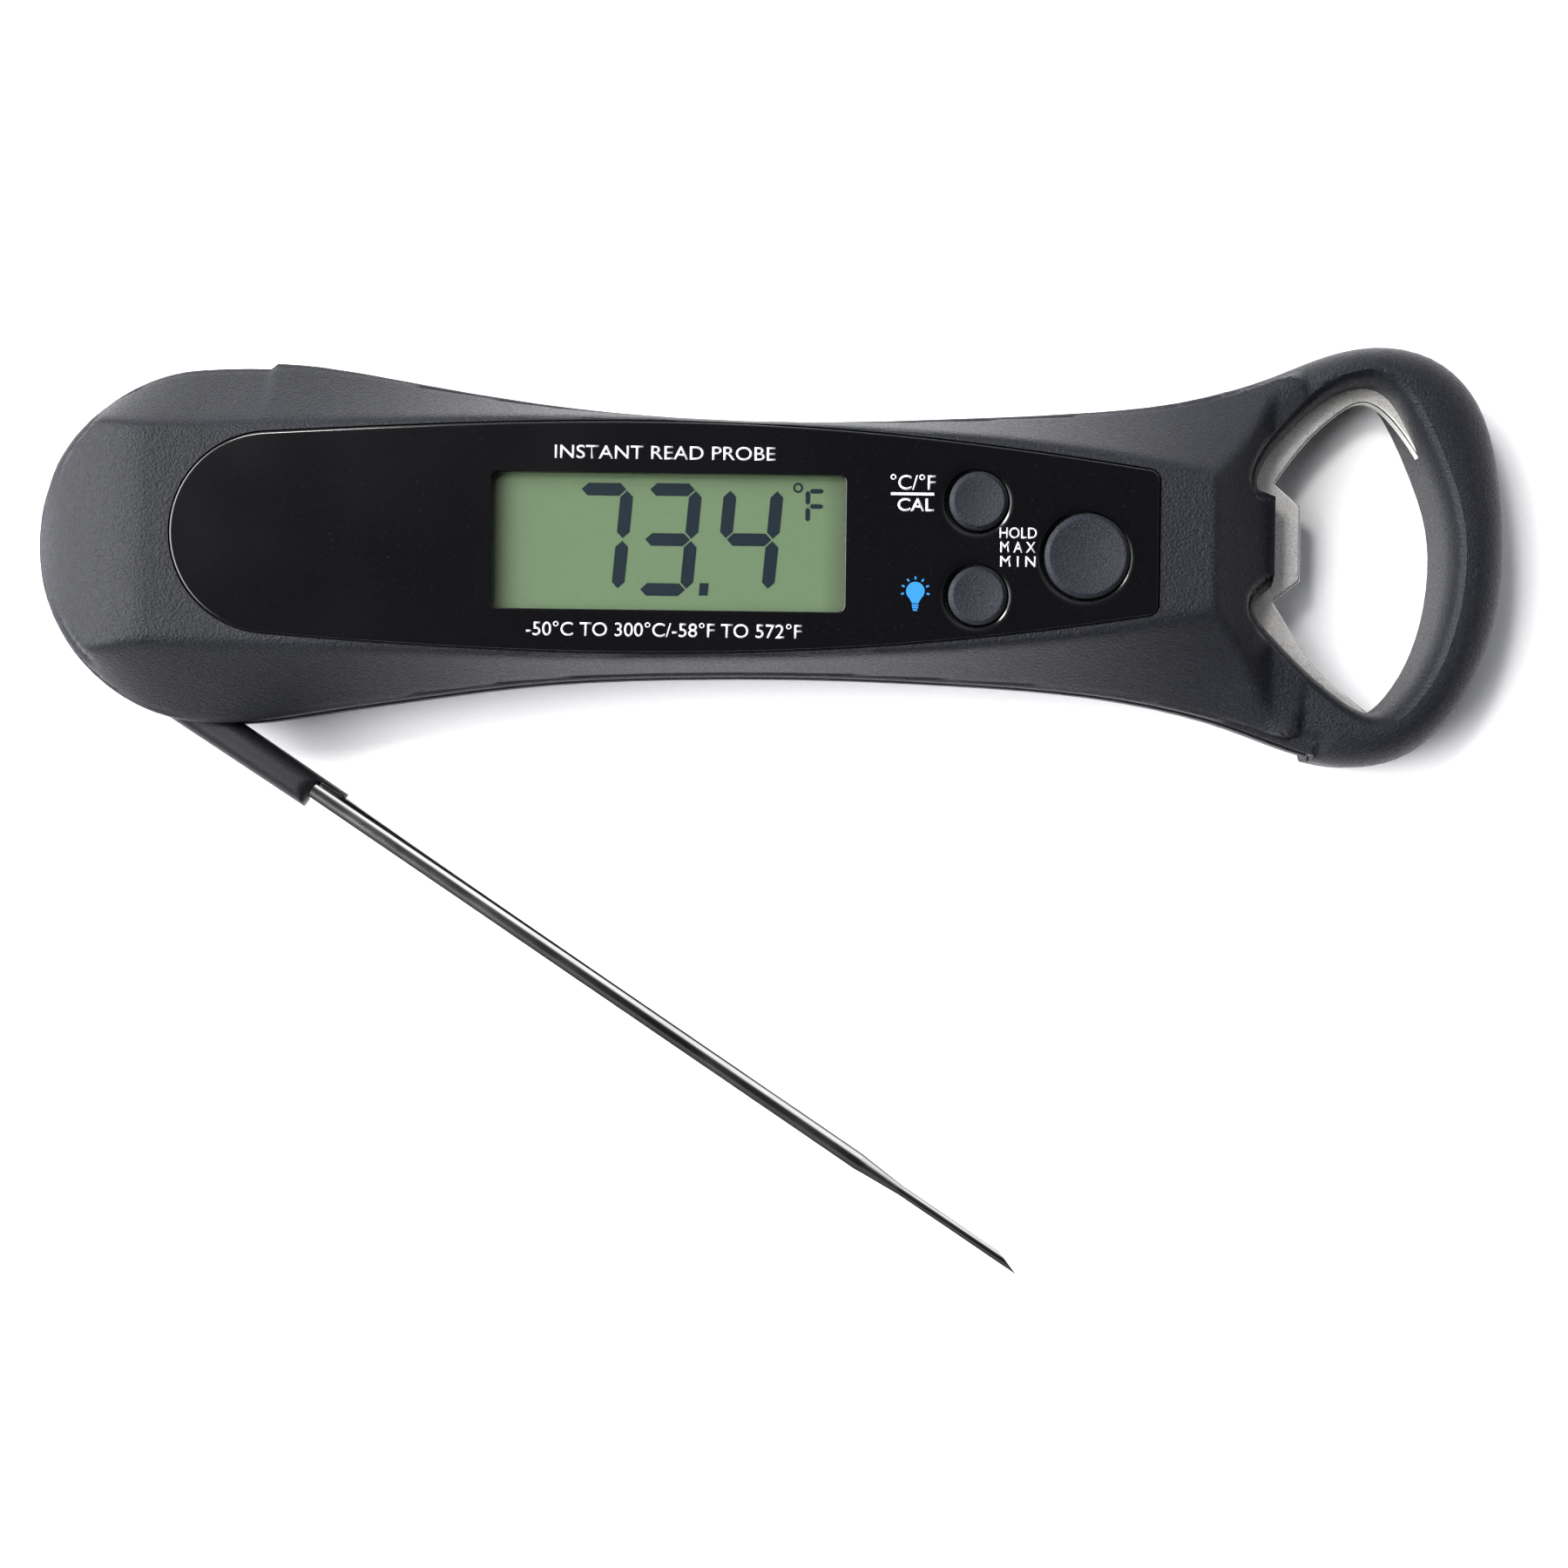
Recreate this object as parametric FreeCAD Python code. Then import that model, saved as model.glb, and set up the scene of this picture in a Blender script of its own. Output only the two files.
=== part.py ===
"""Folding digital meat thermometer with a bottle opener in the end of its handle.

Millimetres. The origin is on the probe's pivot axis, in the plane of the handle's flat back.
+X runs along the handle from the pivot to the opener loop, and +Z is up through the display.
The probe is modelled part open, swung OPEN_ANGLE out of its slot in the handle's lower edge.
"""
import FreeCAD, Part
import math
import os

Vector = FreeCAD.Vector

# ---- driving dimensions -------------------------------------------------------------
OPEN_ANGLE = 33.6        # how far the probe is swung out at rest, degrees
SPINE_TOP = 19.6         # front face of the handle
PARTING = 10.5           # plane where the two covers meet along the handle
LOOP_PARTING = 6.4       # the same plane in the opener loop
LOOP_TOP = 12.0          # front of the opener loop
STEP_X = 124.0           # where the parting plane steps down to the loop
WALL_FLOOR = 1.8         # floor of the rear cover
BACK_ROUND = 2.4         # rounding of the back edges
LOOP_ROUND = 3.2         # rounding of the loop's outer edges
MOUTH_ROUND = 2.0        # rounding of the edges round the opening

SLOT_BOTTOM = 5.5        # slot that the probe folds into
SLOT_TOP = 10.5
SLOT_WALL_Y = -10.4      # inner wall of the slot, along the handle
SLOT_WALL_X = 15.2       # wall behind the hub
SLOT_STEP = 0.65         # how far the covers draw back at the slot's mouth

RECESS_FLOOR = 18.5      # floor of the faceplate's recess
FACE_TOP = 19.9          # front of the faceplate
SKIN_BOTTOM = 16.6       # underside of the front cover's skin
WINDOW = (60.6, 0.2, 39.4, 15.2)   # centre x, centre y, length, height
CELL = (60.6, 0.2, 42.0, 17.4)

KEYS = {                 # centre x, centre y, cap radius, hole radius in the faceplate
    "unit": (95.05, 5.1, 3.25, 3.62),
    "light": (95.05, -5.4, 3.25, 3.62),
    "hold": (107.15, -0.85, 4.70, 5.05),
}
HOLE_SHIFT = 0.25        # the faceplate's holes lie this much nearer the pivot than the caps
KEY_TOP = 20.8
KEY_FLANGE = 0.6         # how far a key's flange stands out under the skin

BOARD_BOTTOM = 12.9
BOARD_TOP = 13.9
CAVITY = (17.0, 114.5, -9.4, 10.4)      # inside of the covers, x then y

CELL_RADIUS = 5.25       # AAA cell
CELL_LENGTH = 44.5
CELL_START = 24.6
CELL_Y = 1.0
CELL_Z = 7.2
DOOR = (20.5, 73.0, -5.6, 7.6)          # battery door, x then y
DOOR_GAP = 0.3
DOOR_THICK = 1.6

HUB_RADIUS = 10.2
HUB_BOTTOM = 5.8
HUB_TOP = 10.2
AXLE_RADIUS = 3.0
AXLE_CLEARANCE = 0.05
AXLE_BOTTOM = 2.4
AXLE_TOP = 12.6
ROD_OFFSET = -12.4       # rod axis, measured across the arm from the pivot
ROD_Z = 8.0
ROD_RADIUS = 1.35
NEEDLE_RADIUS = 0.78
ARM_END = 31.9
TAPER_START = 107.9
TAPER_END = 113.9
TIP = 130.9

PLATE_BOTTOM = 5.5       # stainless opener plate
PLATE_TOP = 7.3

# Outline of the handle at its widest, anticlockwise from the pivot end, lower side first.
END_CENTRE = (8.5, -0.2)
END_RADIUS = 20.9
LOWER_SIDE = [
    (20.8, -19.6), (29.7, -18.2), (45.7, -16.05), (61.7, -15.15), (77.7, -15.0), (93.7, -15.5),
    (109.7, -16.7), (118.5, -18.2), (125.8, -20.2), (132.5, -22.6), (139.0, -23.8),
]
LOOP_END = [
    (144.5, -22.8), (149.8, -18.9), (153.7, -12.6), (155.9, -5.0), (156.4, 2.5), (155.6, 11.0),
    (153.3, 18.4), (149.2, 22.8), (143.0, 24.7),
]
UPPER_SIDE = [
    (136.0, 23.7), (129.3, 21.0), (121.3, 18.3), (109.3, 16.5), (93.3, 15.5), (77.3, 14.9),
    (61.3, 15.2), (45.3, 16.6), (29.3, 19.1), (20.2, 20.5),
]

# Bevels between the front face and the widest outline: x, y of the crease, y of the foot.
UPPER_BEVEL = [
    (-14.0, 12.0, 20.0), (2.0, 12.4, 20.4), (17.0, 12.9, 20.9), (30.0, 13.5, 19.0),
    (48.0, 14.1, 16.3), (77.0, 13.6, 15.0), (95.0, 12.5, 15.6), (110.4, 10.7, 16.6),
    (121.0, 8.6, 18.3), (133.0, 7.0, 22.6),
]
LOWER_BEVEL = [
    (-14.0, -11.0, -20.0), (2.0, -11.4, -20.4), (17.0, -11.8, -20.2), (30.0, -12.2, -18.0),
    (48.0, -12.8, -15.8), (77.0, -12.4, -15.0), (95.0, -11.1, -15.5), (110.4, -9.1, -16.7),
    (121.0, -6.9, -18.7), (133.0, -5.4, -22.8),
]
BEVEL_FOOT_Z = 11.4

# Bottle opener: the hole in the plastic, and the edge of the steel plate inside it.
RIM_CURVE = [
    (129.35, -3.5), (127.7, -5.6), (129.6, -8.6), (136.7, -15.2), (142.1, -17.5), (145.3, -14.8),
    (147.8, -10.3), (149.6, -3.0), (149.3, 5.3), (147.5, 10.7), (145.2, 15.8), (141.6, 19.9),
    (137.6, 19.5), (131.8, 15.0), (128.4, 10.6), (127.9, 8.6), (129.35, 7.0),
]
# The plate: its edge hidden in the plastic, then its free edge below and above the tooth.
PLATE_HIDDEN = [
    (148.9, 12.6), (146.4, 18.0), (143.0, 21.3), (138.4, 21.3), (131.2, 16.9), (126.9, 12.0),
    (125.4, 6.0), (125.4, -3.0), (126.6, -7.6), (129.2, -10.0), (131.7, -11.0), (133.4, -13.6),
    (136.6, -17.0), (142.0, -19.2),
]
PLATE_LOWER = [(142.0, -18.0), (139.9, -16.3), (136.0, -13.05), (132.6, -8.5), (130.2, -4.7)]
TOOTH = [(130.2, -4.7), (133.3, -2.3), (133.3, 6.4), (130.3, 9.0)]
PLATE_UPPER = [(130.3, 9.0), (133.4, 13.2), (136.9, 16.6), (140.4, 18.4), (144.3, 15.8), (147.6, 11.0)]

HOUSING_SCREWS = [(22.5, 14.6), (111.0, 12.3), (120.5, -7.0)]
LOOP_SCREWS = [(153.0, 0.5), (121.0, 13.6)]
SCREW_RADIUS = 1.1
SCREW_HEAD = 1.6
BOARD_SCREWS = [(19.6, 7.6), (19.6, -6.4), (112.0, 7.8), (112.0, -6.6)]
MAGNETS = [(82.0, 1.0), (100.0, 1.0)]
MAGNET_RADIUS = 4.0


# ---- shapes used by several pieces ------------------------------------------------------
def box(x0, x1, y0, y1, z0, z1):
    return Part.makeBox(x1 - x0, y1 - y0, z1 - z0, Vector(x0, y0, z0))


def disc(x, y, radius, z0, z1):
    return Part.makeCylinder(radius, z1 - z0, Vector(x, y, z0))


def ring(x, y, inner, outer, z0, z1):
    return disc(x, y, outer, z0, z1).cut(disc(x, y, inner, z0 - 1, z1 + 1))


def rounded_box(x0, x1, y0, y1, z0, z1, radius):
    body = box(x0, x1, y0, y1, z0, z1)
    upright = [e for e in body.Edges if abs(e.Vertexes[0].Z - e.Vertexes[1].Z) > 1e-6]
    return body.makeFillet(radius, upright)


def centred_box(place, grow, z0, z1, radius):
    x, y, length, height = place
    half_x = length / 2 + grow
    half_y = height / 2 + grow
    return rounded_box(x - half_x, x + half_x, y - half_y, y + half_y, z0, z1, radius)


def prism(edges, z0, z1):
    """A flat outline drawn at z = 0, pushed up from z0 to z1."""
    face = Part.Face(Part.Wire(edges))
    face.translate(Vector(0, 0, z0))
    return face.extrude(Vector(0, 0, z1 - z0))


def curve(points, closed=False):
    spline = Part.BSplineCurve()
    spline.interpolate(Points=[Vector(x, y, 0) for x, y in points], PeriodicFlag=closed)
    return spline.toShape()


def line(start, end):
    return Part.LineSegment(Vector(*start, 0), Vector(*end, 0)).toShape()


def polygon(points):
    return Part.makePolygon([Vector(x, y, 0) for x, y in points + points[:1]]).Edges


def rod_between(start, end, radius):
    run = end.sub(start)
    return Part.makeCylinder(radius, run.Length, start, run)


# ---- outlines ---------------------------------------------------------------------------
def outline_points():
    """Round pivot end, then the lower side, the loop and the upper side."""
    cx, cy = END_CENTRE
    end = []
    for degrees in (95, 118, 141, 164, 187, 210, 233, 256, 275):
        angle = math.radians(degrees)
        end.append((cx + END_RADIUS * math.cos(angle), cy + END_RADIUS * math.sin(angle)))
    return end + LOWER_SIDE + LOOP_END + UPPER_SIDE


def inset(points, distance):
    """Move each point of an anticlockwise outline inwards, square to its neighbours."""
    moved = []
    for index, (x, y) in enumerate(points):
        x0, y0 = points[index - 1]
        x1, y1 = points[(index + 1) % len(points)]
        length = math.hypot(x1 - x0, y1 - y0)
        moved.append((x - distance * (y1 - y0) / length, y + distance * (x1 - x0) / length))
    return moved


def slot_plan(z0, z1):
    """Plan of the probe's slot: all round the hub, then along the handle's lower edge."""
    corners = [
        (-30, 40), (SLOT_WALL_X, 40), (SLOT_WALL_X, SLOT_WALL_Y), (119.0, SLOT_WALL_Y),
        (120.5, -11.3), (131.2, -11.3), (131.2, -14.6), (134.5, -16.6), (134.5, -40), (-30, -40),
    ]
    return prism(polygon(corners), z0, z1)


def outer_prism(z0, z1, round_bottom=0.0):
    """The handle's plan, drawn back by SLOT_STEP where the slot's mouth is."""
    points = outline_points()
    full = prism([curve(points, closed=True)], z0, z1)
    narrow = prism([curve(inset(points, SLOT_STEP), closed=True)], z0, z1)
    if round_bottom:
        full = rounded_at(full, round_bottom, z0)
        narrow = rounded_at(narrow, round_bottom, z0)
    slot = slot_plan(z0 - 1, z1 + 1)
    return full.cut(slot).fuse(narrow.common(slot)).removeSplitter()


def rounded_at(solid, radius, z):
    """Round every edge that lies at height z."""
    edges = [e for e in solid.Edges if e.BoundBox.ZMin > z - 1e-4 and e.BoundBox.ZMax < z + 1e-4]
    return solid.makeFillet(radius, edges)


def loop_bar(z0, z1, rounded_z):
    """The whole plan pierced by the opening, rounded outside and inside at one height."""
    bar = prism([curve(outline_points(), closed=True)], z0, z1)
    bar = rounded_at(bar, LOOP_ROUND, rounded_z).cut(opening(z0 - 1, z1 + 1))
    mouth = [
        e for e in bar.Edges
        if abs(e.BoundBox.ZMin - rounded_z) < 1e-4 and abs(e.BoundBox.ZMax - rounded_z) < 1e-4
        and e.BoundBox.XMin > 120 and e.Length < 120
    ]
    return bar.makeFillet(MOUTH_ROUND, mouth)


def opening(z0, z1):
    """The hole in the plastic of the opener loop."""
    return prism([line(RIM_CURVE[-1], RIM_CURVE[0]), curve(RIM_CURVE)], z0, z1)


def side_profile():
    """Side view of the handle above the parting plane: domed end, flat face, slope, loop."""
    def at(x, z):
        return Vector(x, -60, z)
    dome = Part.Arc(at(-12.2, PARTING - 0.6), at(-6.2, 16.6), at(6.0, SPINE_TOP)).toShape()
    hollow = Part.Arc(at(128.0, 13.9), at(129.9, 12.5), at(133.0, LOOP_TOP)).toShape()
    straight = [
        (at(6.0, SPINE_TOP), at(121.6, SPINE_TOP)), (at(121.6, SPINE_TOP), at(128.0, 13.9)),
        (at(133.0, LOOP_TOP), at(170.0, LOOP_TOP)), (at(170.0, LOOP_TOP), at(170.0, -1.0)),
        (at(170.0, -1.0), at(-12.2, -1.0)), (at(-12.2, -1.0), at(-12.2, PARTING - 0.6)),
    ]
    lines = [Part.LineSegment(a, b).toShape() for a, b in straight]
    wire = Part.Wire(Part.__sortEdges__([dome, hollow] + lines))
    return Part.Face(wire).extrude(Vector(0, 120, 0))


def bevel_cutter(stations):
    """What the bevel on one side takes away: a block lofted along its crease and its foot."""
    sections = []
    for x, crease, foot in stations:
        side = math.copysign(14.0, foot)
        corners = [
            (foot, BEVEL_FOOT_Z), (crease, SPINE_TOP), (crease, SPINE_TOP + 6.0),
            (foot + side, SPINE_TOP + 6.0), (foot + side, BEVEL_FOOT_Z),
        ]
        points = [Vector(x, y, z) for y, z in corners]
        sections.append(Part.makePolygon(points + points[:1]))
    return Part.makeLoft(sections, True, False)


# ---- covers -------------------------------------------------------------------------------
def loop_front():
    """Front half of the loop, with both its edges rounded, reaching under the neck."""
    bar = loop_bar(LOOP_PARTING, LOOP_TOP, LOOP_TOP)
    return bar.common(box(127.0, 170, -60, 60, 0, 30))


def front_cover():
    body = outer_prism(LOOP_PARTING, SPINE_TOP + 1).common(side_profile())
    body = body.cut(bevel_cutter(UPPER_BEVEL)).cut(bevel_cutter(LOWER_BEVEL))
    body = body.cut(opening(0, 30)).cut(box(129.6, 170, -60, 60, 0, 30))
    body = body.fuse(loop_front()).removeSplitter()
    body = body.cut(box(-30, STEP_X, -60, 60, 0, PARTING))
    body = body.cut(slot_plan(SLOT_BOTTOM, SLOT_TOP))
    body = body.cut(faceplate_blank(RECESS_FLOOR, 30, grow=0.25))
    body = body.cut(rounded_box(*CAVITY, 0, SKIN_BOTTOM, 2.0))
    body = body.cut(centred_box(CELL, 0.2, 0, 30, 0.8))
    for x, y, radius, hole in KEYS.values():
        body = body.cut(disc(x, y, radius + 0.15, 0, 30))
    for x, y in BOARD_SCREWS:
        body = body.fuse(disc(x, y, 1.9, BOARD_TOP, SKIN_BOTTOM))
        body = body.cut(disc(x, y, 0.8, 0, SKIN_BOTTOM + 0.4))
    for x, y in HOUSING_SCREWS:
        body = body.cut(disc(x, y, SCREW_RADIUS, 0, PARTING + 4.0))
    for x, y in LOOP_SCREWS:
        body = body.cut(disc(x, y, SCREW_RADIUS, 0, PARTING))
    body = body.cut(disc(0, 0, AXLE_RADIUS, 0, AXLE_TOP))
    return body.cut(lead_channel(0.65)).cut(opener_plate())


def rear_cover():
    body = outer_prism(0, PARTING, BACK_ROUND).cut(rear_cavity())
    holes = []
    for x, y in HOUSING_SCREWS + LOOP_SCREWS:
        holes.append(stepped_hole(x, y, SCREW_HEAD + 0.15, 2.6, SCREW_RADIUS + 0.15, 30))
    body = body.cut(holes).cut(opening(-1, 30))
    body = body.cut(slot_plan(SLOT_BOTTOM, SLOT_TOP + 1))
    body = body.cut(box(STEP_X, 170, -60, 60, LOOP_PARTING, 30))
    x0, x1, y0, y1 = DOOR
    body = body.cut(rounded_box(x0, x1, y0, y1, -1, WALL_FLOOR + 0.1, 1.5))
    body = body.fuse(door_ledge())
    body = body.cut(disc(0, 0, AXLE_RADIUS, AXLE_BOTTOM, 30))
    return body.cut(opener_plate())


def rear_cavity():
    """Inside of the rear cover, leaving the walls of the battery compartment standing."""
    x0, x1, y0, y1 = DOOR
    walls = box(x0 - 1.4, x1 + 1.4, y0 - 1.4, y1 + 1.4, WALL_FLOOR, PARTING)
    compartment = box(x0, x1, y0, y1, WALL_FLOOR, 30)
    notch = box(x0 - 2, x1 + 2, -2.6, 4.6, 9.2, 30)
    return rounded_box(*CAVITY, WALL_FLOOR, 30, 2.0).cut(walls).fuse([compartment, notch])


def stepped_hole(x, y, wide, wide_top, narrow, top):
    """Hole from the back that is wide as far as wide_top and narrow above it."""
    return disc(x, y, wide, -1, wide_top).fuse(disc(x, y, narrow, -1, top))


def door_ledge():
    """Ledge that the door's seal presses on, and the boss for the door's screw."""
    x0, x1, y0, y1 = DOOR
    ledge = box(x0, x1, y0, y1, DOOR_THICK + 0.3, DOOR_THICK + 1.1)
    ledge = ledge.cut(box(x0 + 1.6, x1 - 1.6, y0 + 1.2, y1 - 1.2, 0, 5))
    boss = disc(x1 - 2.2, CELL_Y, 1.9, DOOR_THICK + 0.3, 5.0)
    return ledge.fuse(boss).cut(disc(x1 - 2.2, CELL_Y, 0.95, 0, 4.7))


# ---- front of the handle ---------------------------------------------------------------
def faceplate_blank(z0, z1, grow=0.0):
    """Rounded end towards the pivot, sides that bulge and draw in, small far corners."""
    upper = [(15.4, 11.8), (35.0, 12.9), (58.0, 13.5), (79.0, 12.85), (102.6, 10.5), (113.9, 8.9)]
    lower = [(113.9, -7.3), (102.6, -9.0), (79.0, -11.35), (58.0, -12.1), (35.0, -11.6), (15.4, -10.4)]
    left, right, middle = 5.2, 115.15, 0.7
    corner = 1.35
    upper = [(x, y + grow) for x, y in upper]
    lower = [(x, y - grow) for x, y in lower]
    left -= grow
    right += grow
    edges = [
        curve(upper),
        Part.Arc(Vector(*upper[-1], 0), Vector(right - 0.35, upper[-1][1] - 0.4, 0),
                 Vector(right, upper[-1][1] - corner, 0)).toShape(),
        Part.LineSegment(Vector(right, upper[-1][1] - corner, 0),
                         Vector(right, lower[0][1] + corner, 0)).toShape(),
        Part.Arc(Vector(right, lower[0][1] + corner, 0), Vector(right - 0.35, lower[0][1] + 0.4, 0),
                 Vector(*lower[0], 0)).toShape(),
        curve(lower),
        Part.Arc(Vector(*lower[-1], 0), Vector(left, middle, 0), Vector(*upper[0], 0)).toShape(),
    ]
    return prism(edges, z0, z1)


def faceplate():
    plate = faceplate_blank(RECESS_FLOOR + 0.15, FACE_TOP)
    plate = plate.cut(centred_box(WINDOW, 0.0, 0, 30, 0.8))
    plate = plate.cut(centred_box(WINDOW, 0.9, 0, FACE_TOP - 0.6, 1.2))
    for x, y, radius, hole in KEYS.values():
        plate = plate.cut(disc(x - HOLE_SHIFT, y, hole, 0, 30))
    return plate


def faceplate_gasket():
    outer = faceplate_blank(RECESS_FLOOR, RECESS_FLOOR + 0.15, grow=-0.3)
    outer = outer.cut(centred_box(CELL, 0.6, 0, 30, 0.8))
    for x, y, radius, hole in KEYS.values():
        outer = outer.cut(disc(x - HOLE_SHIFT, y, hole + 0.6, 0, 30))
    return outer


def display_window():
    lower = centred_box(WINDOW, 0.85, RECESS_FLOOR + 0.15, FACE_TOP - 0.6, 1.15)
    upper = centred_box(WINDOW, -0.02, FACE_TOP - 0.6, FACE_TOP - 0.1, 0.8)
    return lower.fuse(upper)


def lcd_cell():
    return centred_box(CELL, 0.0, SKIN_BOTTOM, RECESS_FLOOR - 0.1, 0.5)


def lcd_frame():
    frame = centred_box((60.6, 0.2, 47.0, 17.8), 0.0, BOARD_TOP, SKIN_BOTTOM, 1.0)
    frame = frame.cut(centred_box((60.6, 0.2, 41.4, 13.0), 0.0, 0, 30, 0.6))
    return frame.cut(box(42.0, 79.2, 7.2, 9.0, 0, 30))


def backlight_panel():
    return centred_box((60.6, 0.2, 41.0, 12.8), 0.0, 15.0, SKIN_BOTTOM - 0.1, 0.6)


def zebra_strip():
    return box(42.4, 78.8, 7.3, 8.5, BOARD_TOP, SKIN_BOTTOM)


def key_cap(name):
    """Cap with a soft edge above a wider flange that stops it under the skin."""
    x, y, radius, hole = KEYS[name]
    cap = disc(x, y, radius, SKIN_BOTTOM - 0.7, KEY_TOP)
    cap = cap.makeChamfer(0.45, [e for e in cap.Edges if e.BoundBox.ZMin > KEY_TOP - 1e-4])
    dish_radius = radius * 6.0
    dish_depth = dish_radius - math.sqrt(dish_radius ** 2 - (radius - 0.6) ** 2)
    dish = Part.makeSphere(dish_radius, Vector(x, y, KEY_TOP - dish_depth + dish_radius))
    flange = disc(x, y, radius + KEY_FLANGE, SKIN_BOTTOM - 0.7, SKIN_BOTTOM - 0.05)
    return cap.cut(dish).fuse(flange)


def key_dome(name):
    """Rubber dome between the board and the key's flange."""
    x, y, radius, hole = KEYS[name]
    base = disc(x, y, radius + 0.5, BOARD_TOP, BOARD_TOP + 0.4)
    cone = Part.makeCone(radius, 1.6, SKIN_BOTTOM - 0.7 - BOARD_TOP, Vector(x, y, BOARD_TOP))
    return base.fuse(cone)


# ---- inside the handle -------------------------------------------------------------------
def main_board():
    x0, x1, y0, y1 = CAVITY
    board = rounded_box(x0 + 0.3, x1 - 0.3, y0 + 0.3, y1 - 0.3, BOARD_BOTTOM, BOARD_TOP, 1.5)
    for x, y in BOARD_SCREWS:
        board = board.cut(disc(x, y, 1.0, 0, 30))
    return board


def display_chip():
    return Part.makeCone(2.6, 1.6, 1.0, Vector(80.0, 1.0, BOARD_BOTTOM), Vector(0, 0, -1))


def backlight_led():
    return box(40.4, 41.6, -1.0, 1.4, BOARD_TOP, 14.9)


def reed_switch():
    glass = rod_between(Vector(75.4, -7.6, 11.9), Vector(88.4, -7.6, 11.9), 0.9)
    return glass.fuse(box(75.9, 87.9, -8.1, -7.1, 11.9, BOARD_BOTTOM))


def board_screws():
    screws = []
    for x, y in BOARD_SCREWS:
        head = disc(x, y, 1.5, BOARD_BOTTOM - 0.9, BOARD_BOTTOM)
        screws.append(head.fuse(disc(x, y, 0.8, BOARD_BOTTOM - 0.9, SKIN_BOTTOM)))
    return Part.makeCompound(screws)


def housing_screws():
    screws = []
    for x, y in HOUSING_SCREWS:
        screws.append(housing_screw(x, y, PARTING + 3.6))
    for x, y in LOOP_SCREWS:
        screws.append(housing_screw(x, y, PARTING - 0.4))
    return Part.makeCompound(screws)


def housing_screw(x, y, top):
    head = disc(x, y, SCREW_HEAD, 0.9, 2.6)
    for turn in (0, 90):
        slot = box(x - 1.2, x + 1.2, y - 0.3, y + 0.3, 0.5, 1.7)
        slot.rotate(Vector(x, y, 0), Vector(0, 0, 1), turn)
        head = head.cut(slot)
    return head.fuse(disc(x, y, SCREW_RADIUS, 2.6, top))


def battery():
    start = Vector(CELL_START, CELL_Y, CELL_Z)
    can = rod_between(start, start.add(Vector(CELL_LENGTH - 1.2, 0, 0)), CELL_RADIUS)
    return can.fuse(rod_between(start, start.add(Vector(CELL_LENGTH, 0, 0)), 1.9))


def battery_spring():
    """Bowed leaf against the cell's flat end, on a plate against the pocket's wall."""
    x0 = DOOR[0]
    outer = [
        (x0, 3.2), (x0, 10.3), (x0 + 0.5, 10.3), (CELL_START, 7.5), (CELL_START, 6.9),
        (CELL_START - 0.4, 6.9), (CELL_START - 0.4, 7.3), (x0 + 0.3, 9.85), (x0 + 0.3, 3.2),
    ]
    points = [Vector(x, CELL_Y - 2.0, z) for x, z in outer]
    return Part.Face(Part.makePolygon(points + points[:1])).extrude(Vector(0, 4.0, 0))


def battery_contact():
    """Plate on the pocket's wall with a pressed stud that meets the cell's cap."""
    wall = DOOR[1]
    plate = box(wall - 0.4, wall, CELL_Y - 3.0, CELL_Y + 3.0, 5.4, 10.2)
    stud = rod_between(Vector(CELL_START + CELL_LENGTH, CELL_Y, CELL_Z), Vector(wall, CELL_Y, CELL_Z), 1.5)
    return plate.fuse(stud)


def back_magnets():
    return Part.makeCompound([disc(x, y, MAGNET_RADIUS, WALL_FLOOR, 4.0) for x, y in MAGNETS])


def opener_plate():
    """C-shaped plate: a square tooth, then two bands that run out under the plastic."""
    edges = [curve(PLATE_HIDDEN), line(PLATE_HIDDEN[-1], PLATE_LOWER[0]), curve(PLATE_LOWER)]
    edges += [line(a, b) for a, b in zip(TOOTH, TOOTH[1:])]
    edges += [curve(PLATE_UPPER), line(PLATE_UPPER[-1], PLATE_HIDDEN[0])]
    return prism(edges, PLATE_BOTTOM, PLATE_TOP)


# ---- pivot and probe ------------------------------------------------------------------
def pivot_axle():
    """Steel pin pressed into both covers."""
    axle = disc(0, 0, AXLE_RADIUS, AXLE_BOTTOM, AXLE_TOP)
    ends = [e for e in axle.Edges if e.Closed]
    return axle.makeChamfer(0.3, ends)


def pivot_washer():
    return ring(0, 0, AXLE_RADIUS + 0.1, 6.6, SLOT_BOTTOM, HUB_BOTTOM - 0.02)


def lead_path():
    """Where the sensor's lead climbs out of the hub and runs to the board."""
    return [Vector(4.5, 0, 9.3), Vector(4.5, 0, 12.1), Vector(19.0, 0, 12.1)]


def lead_channel(radius):
    low, corner, end = lead_path()
    cut = rod_between(low, corner, radius).fuse(Part.makeSphere(radius, corner))
    return cut.fuse(rod_between(corner, end, radius))


def housing_lead():
    """Slack turn of lead in the hub's groove, then up and along to the board."""
    turn = Part.makeTorus(4.5, 0.4, Vector(0, 0, 9.3))
    return turn.fuse(lead_channel(0.4))


def along_arm(u, v, z):
    """A point given along and across the folded arm."""
    return Vector(u, v, z)


def opened(shape):
    turned = shape.copy()
    turned.rotate(Vector(0, 0, 0), Vector(0, 0, 1), -OPEN_ANGLE)
    return turned


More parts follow.
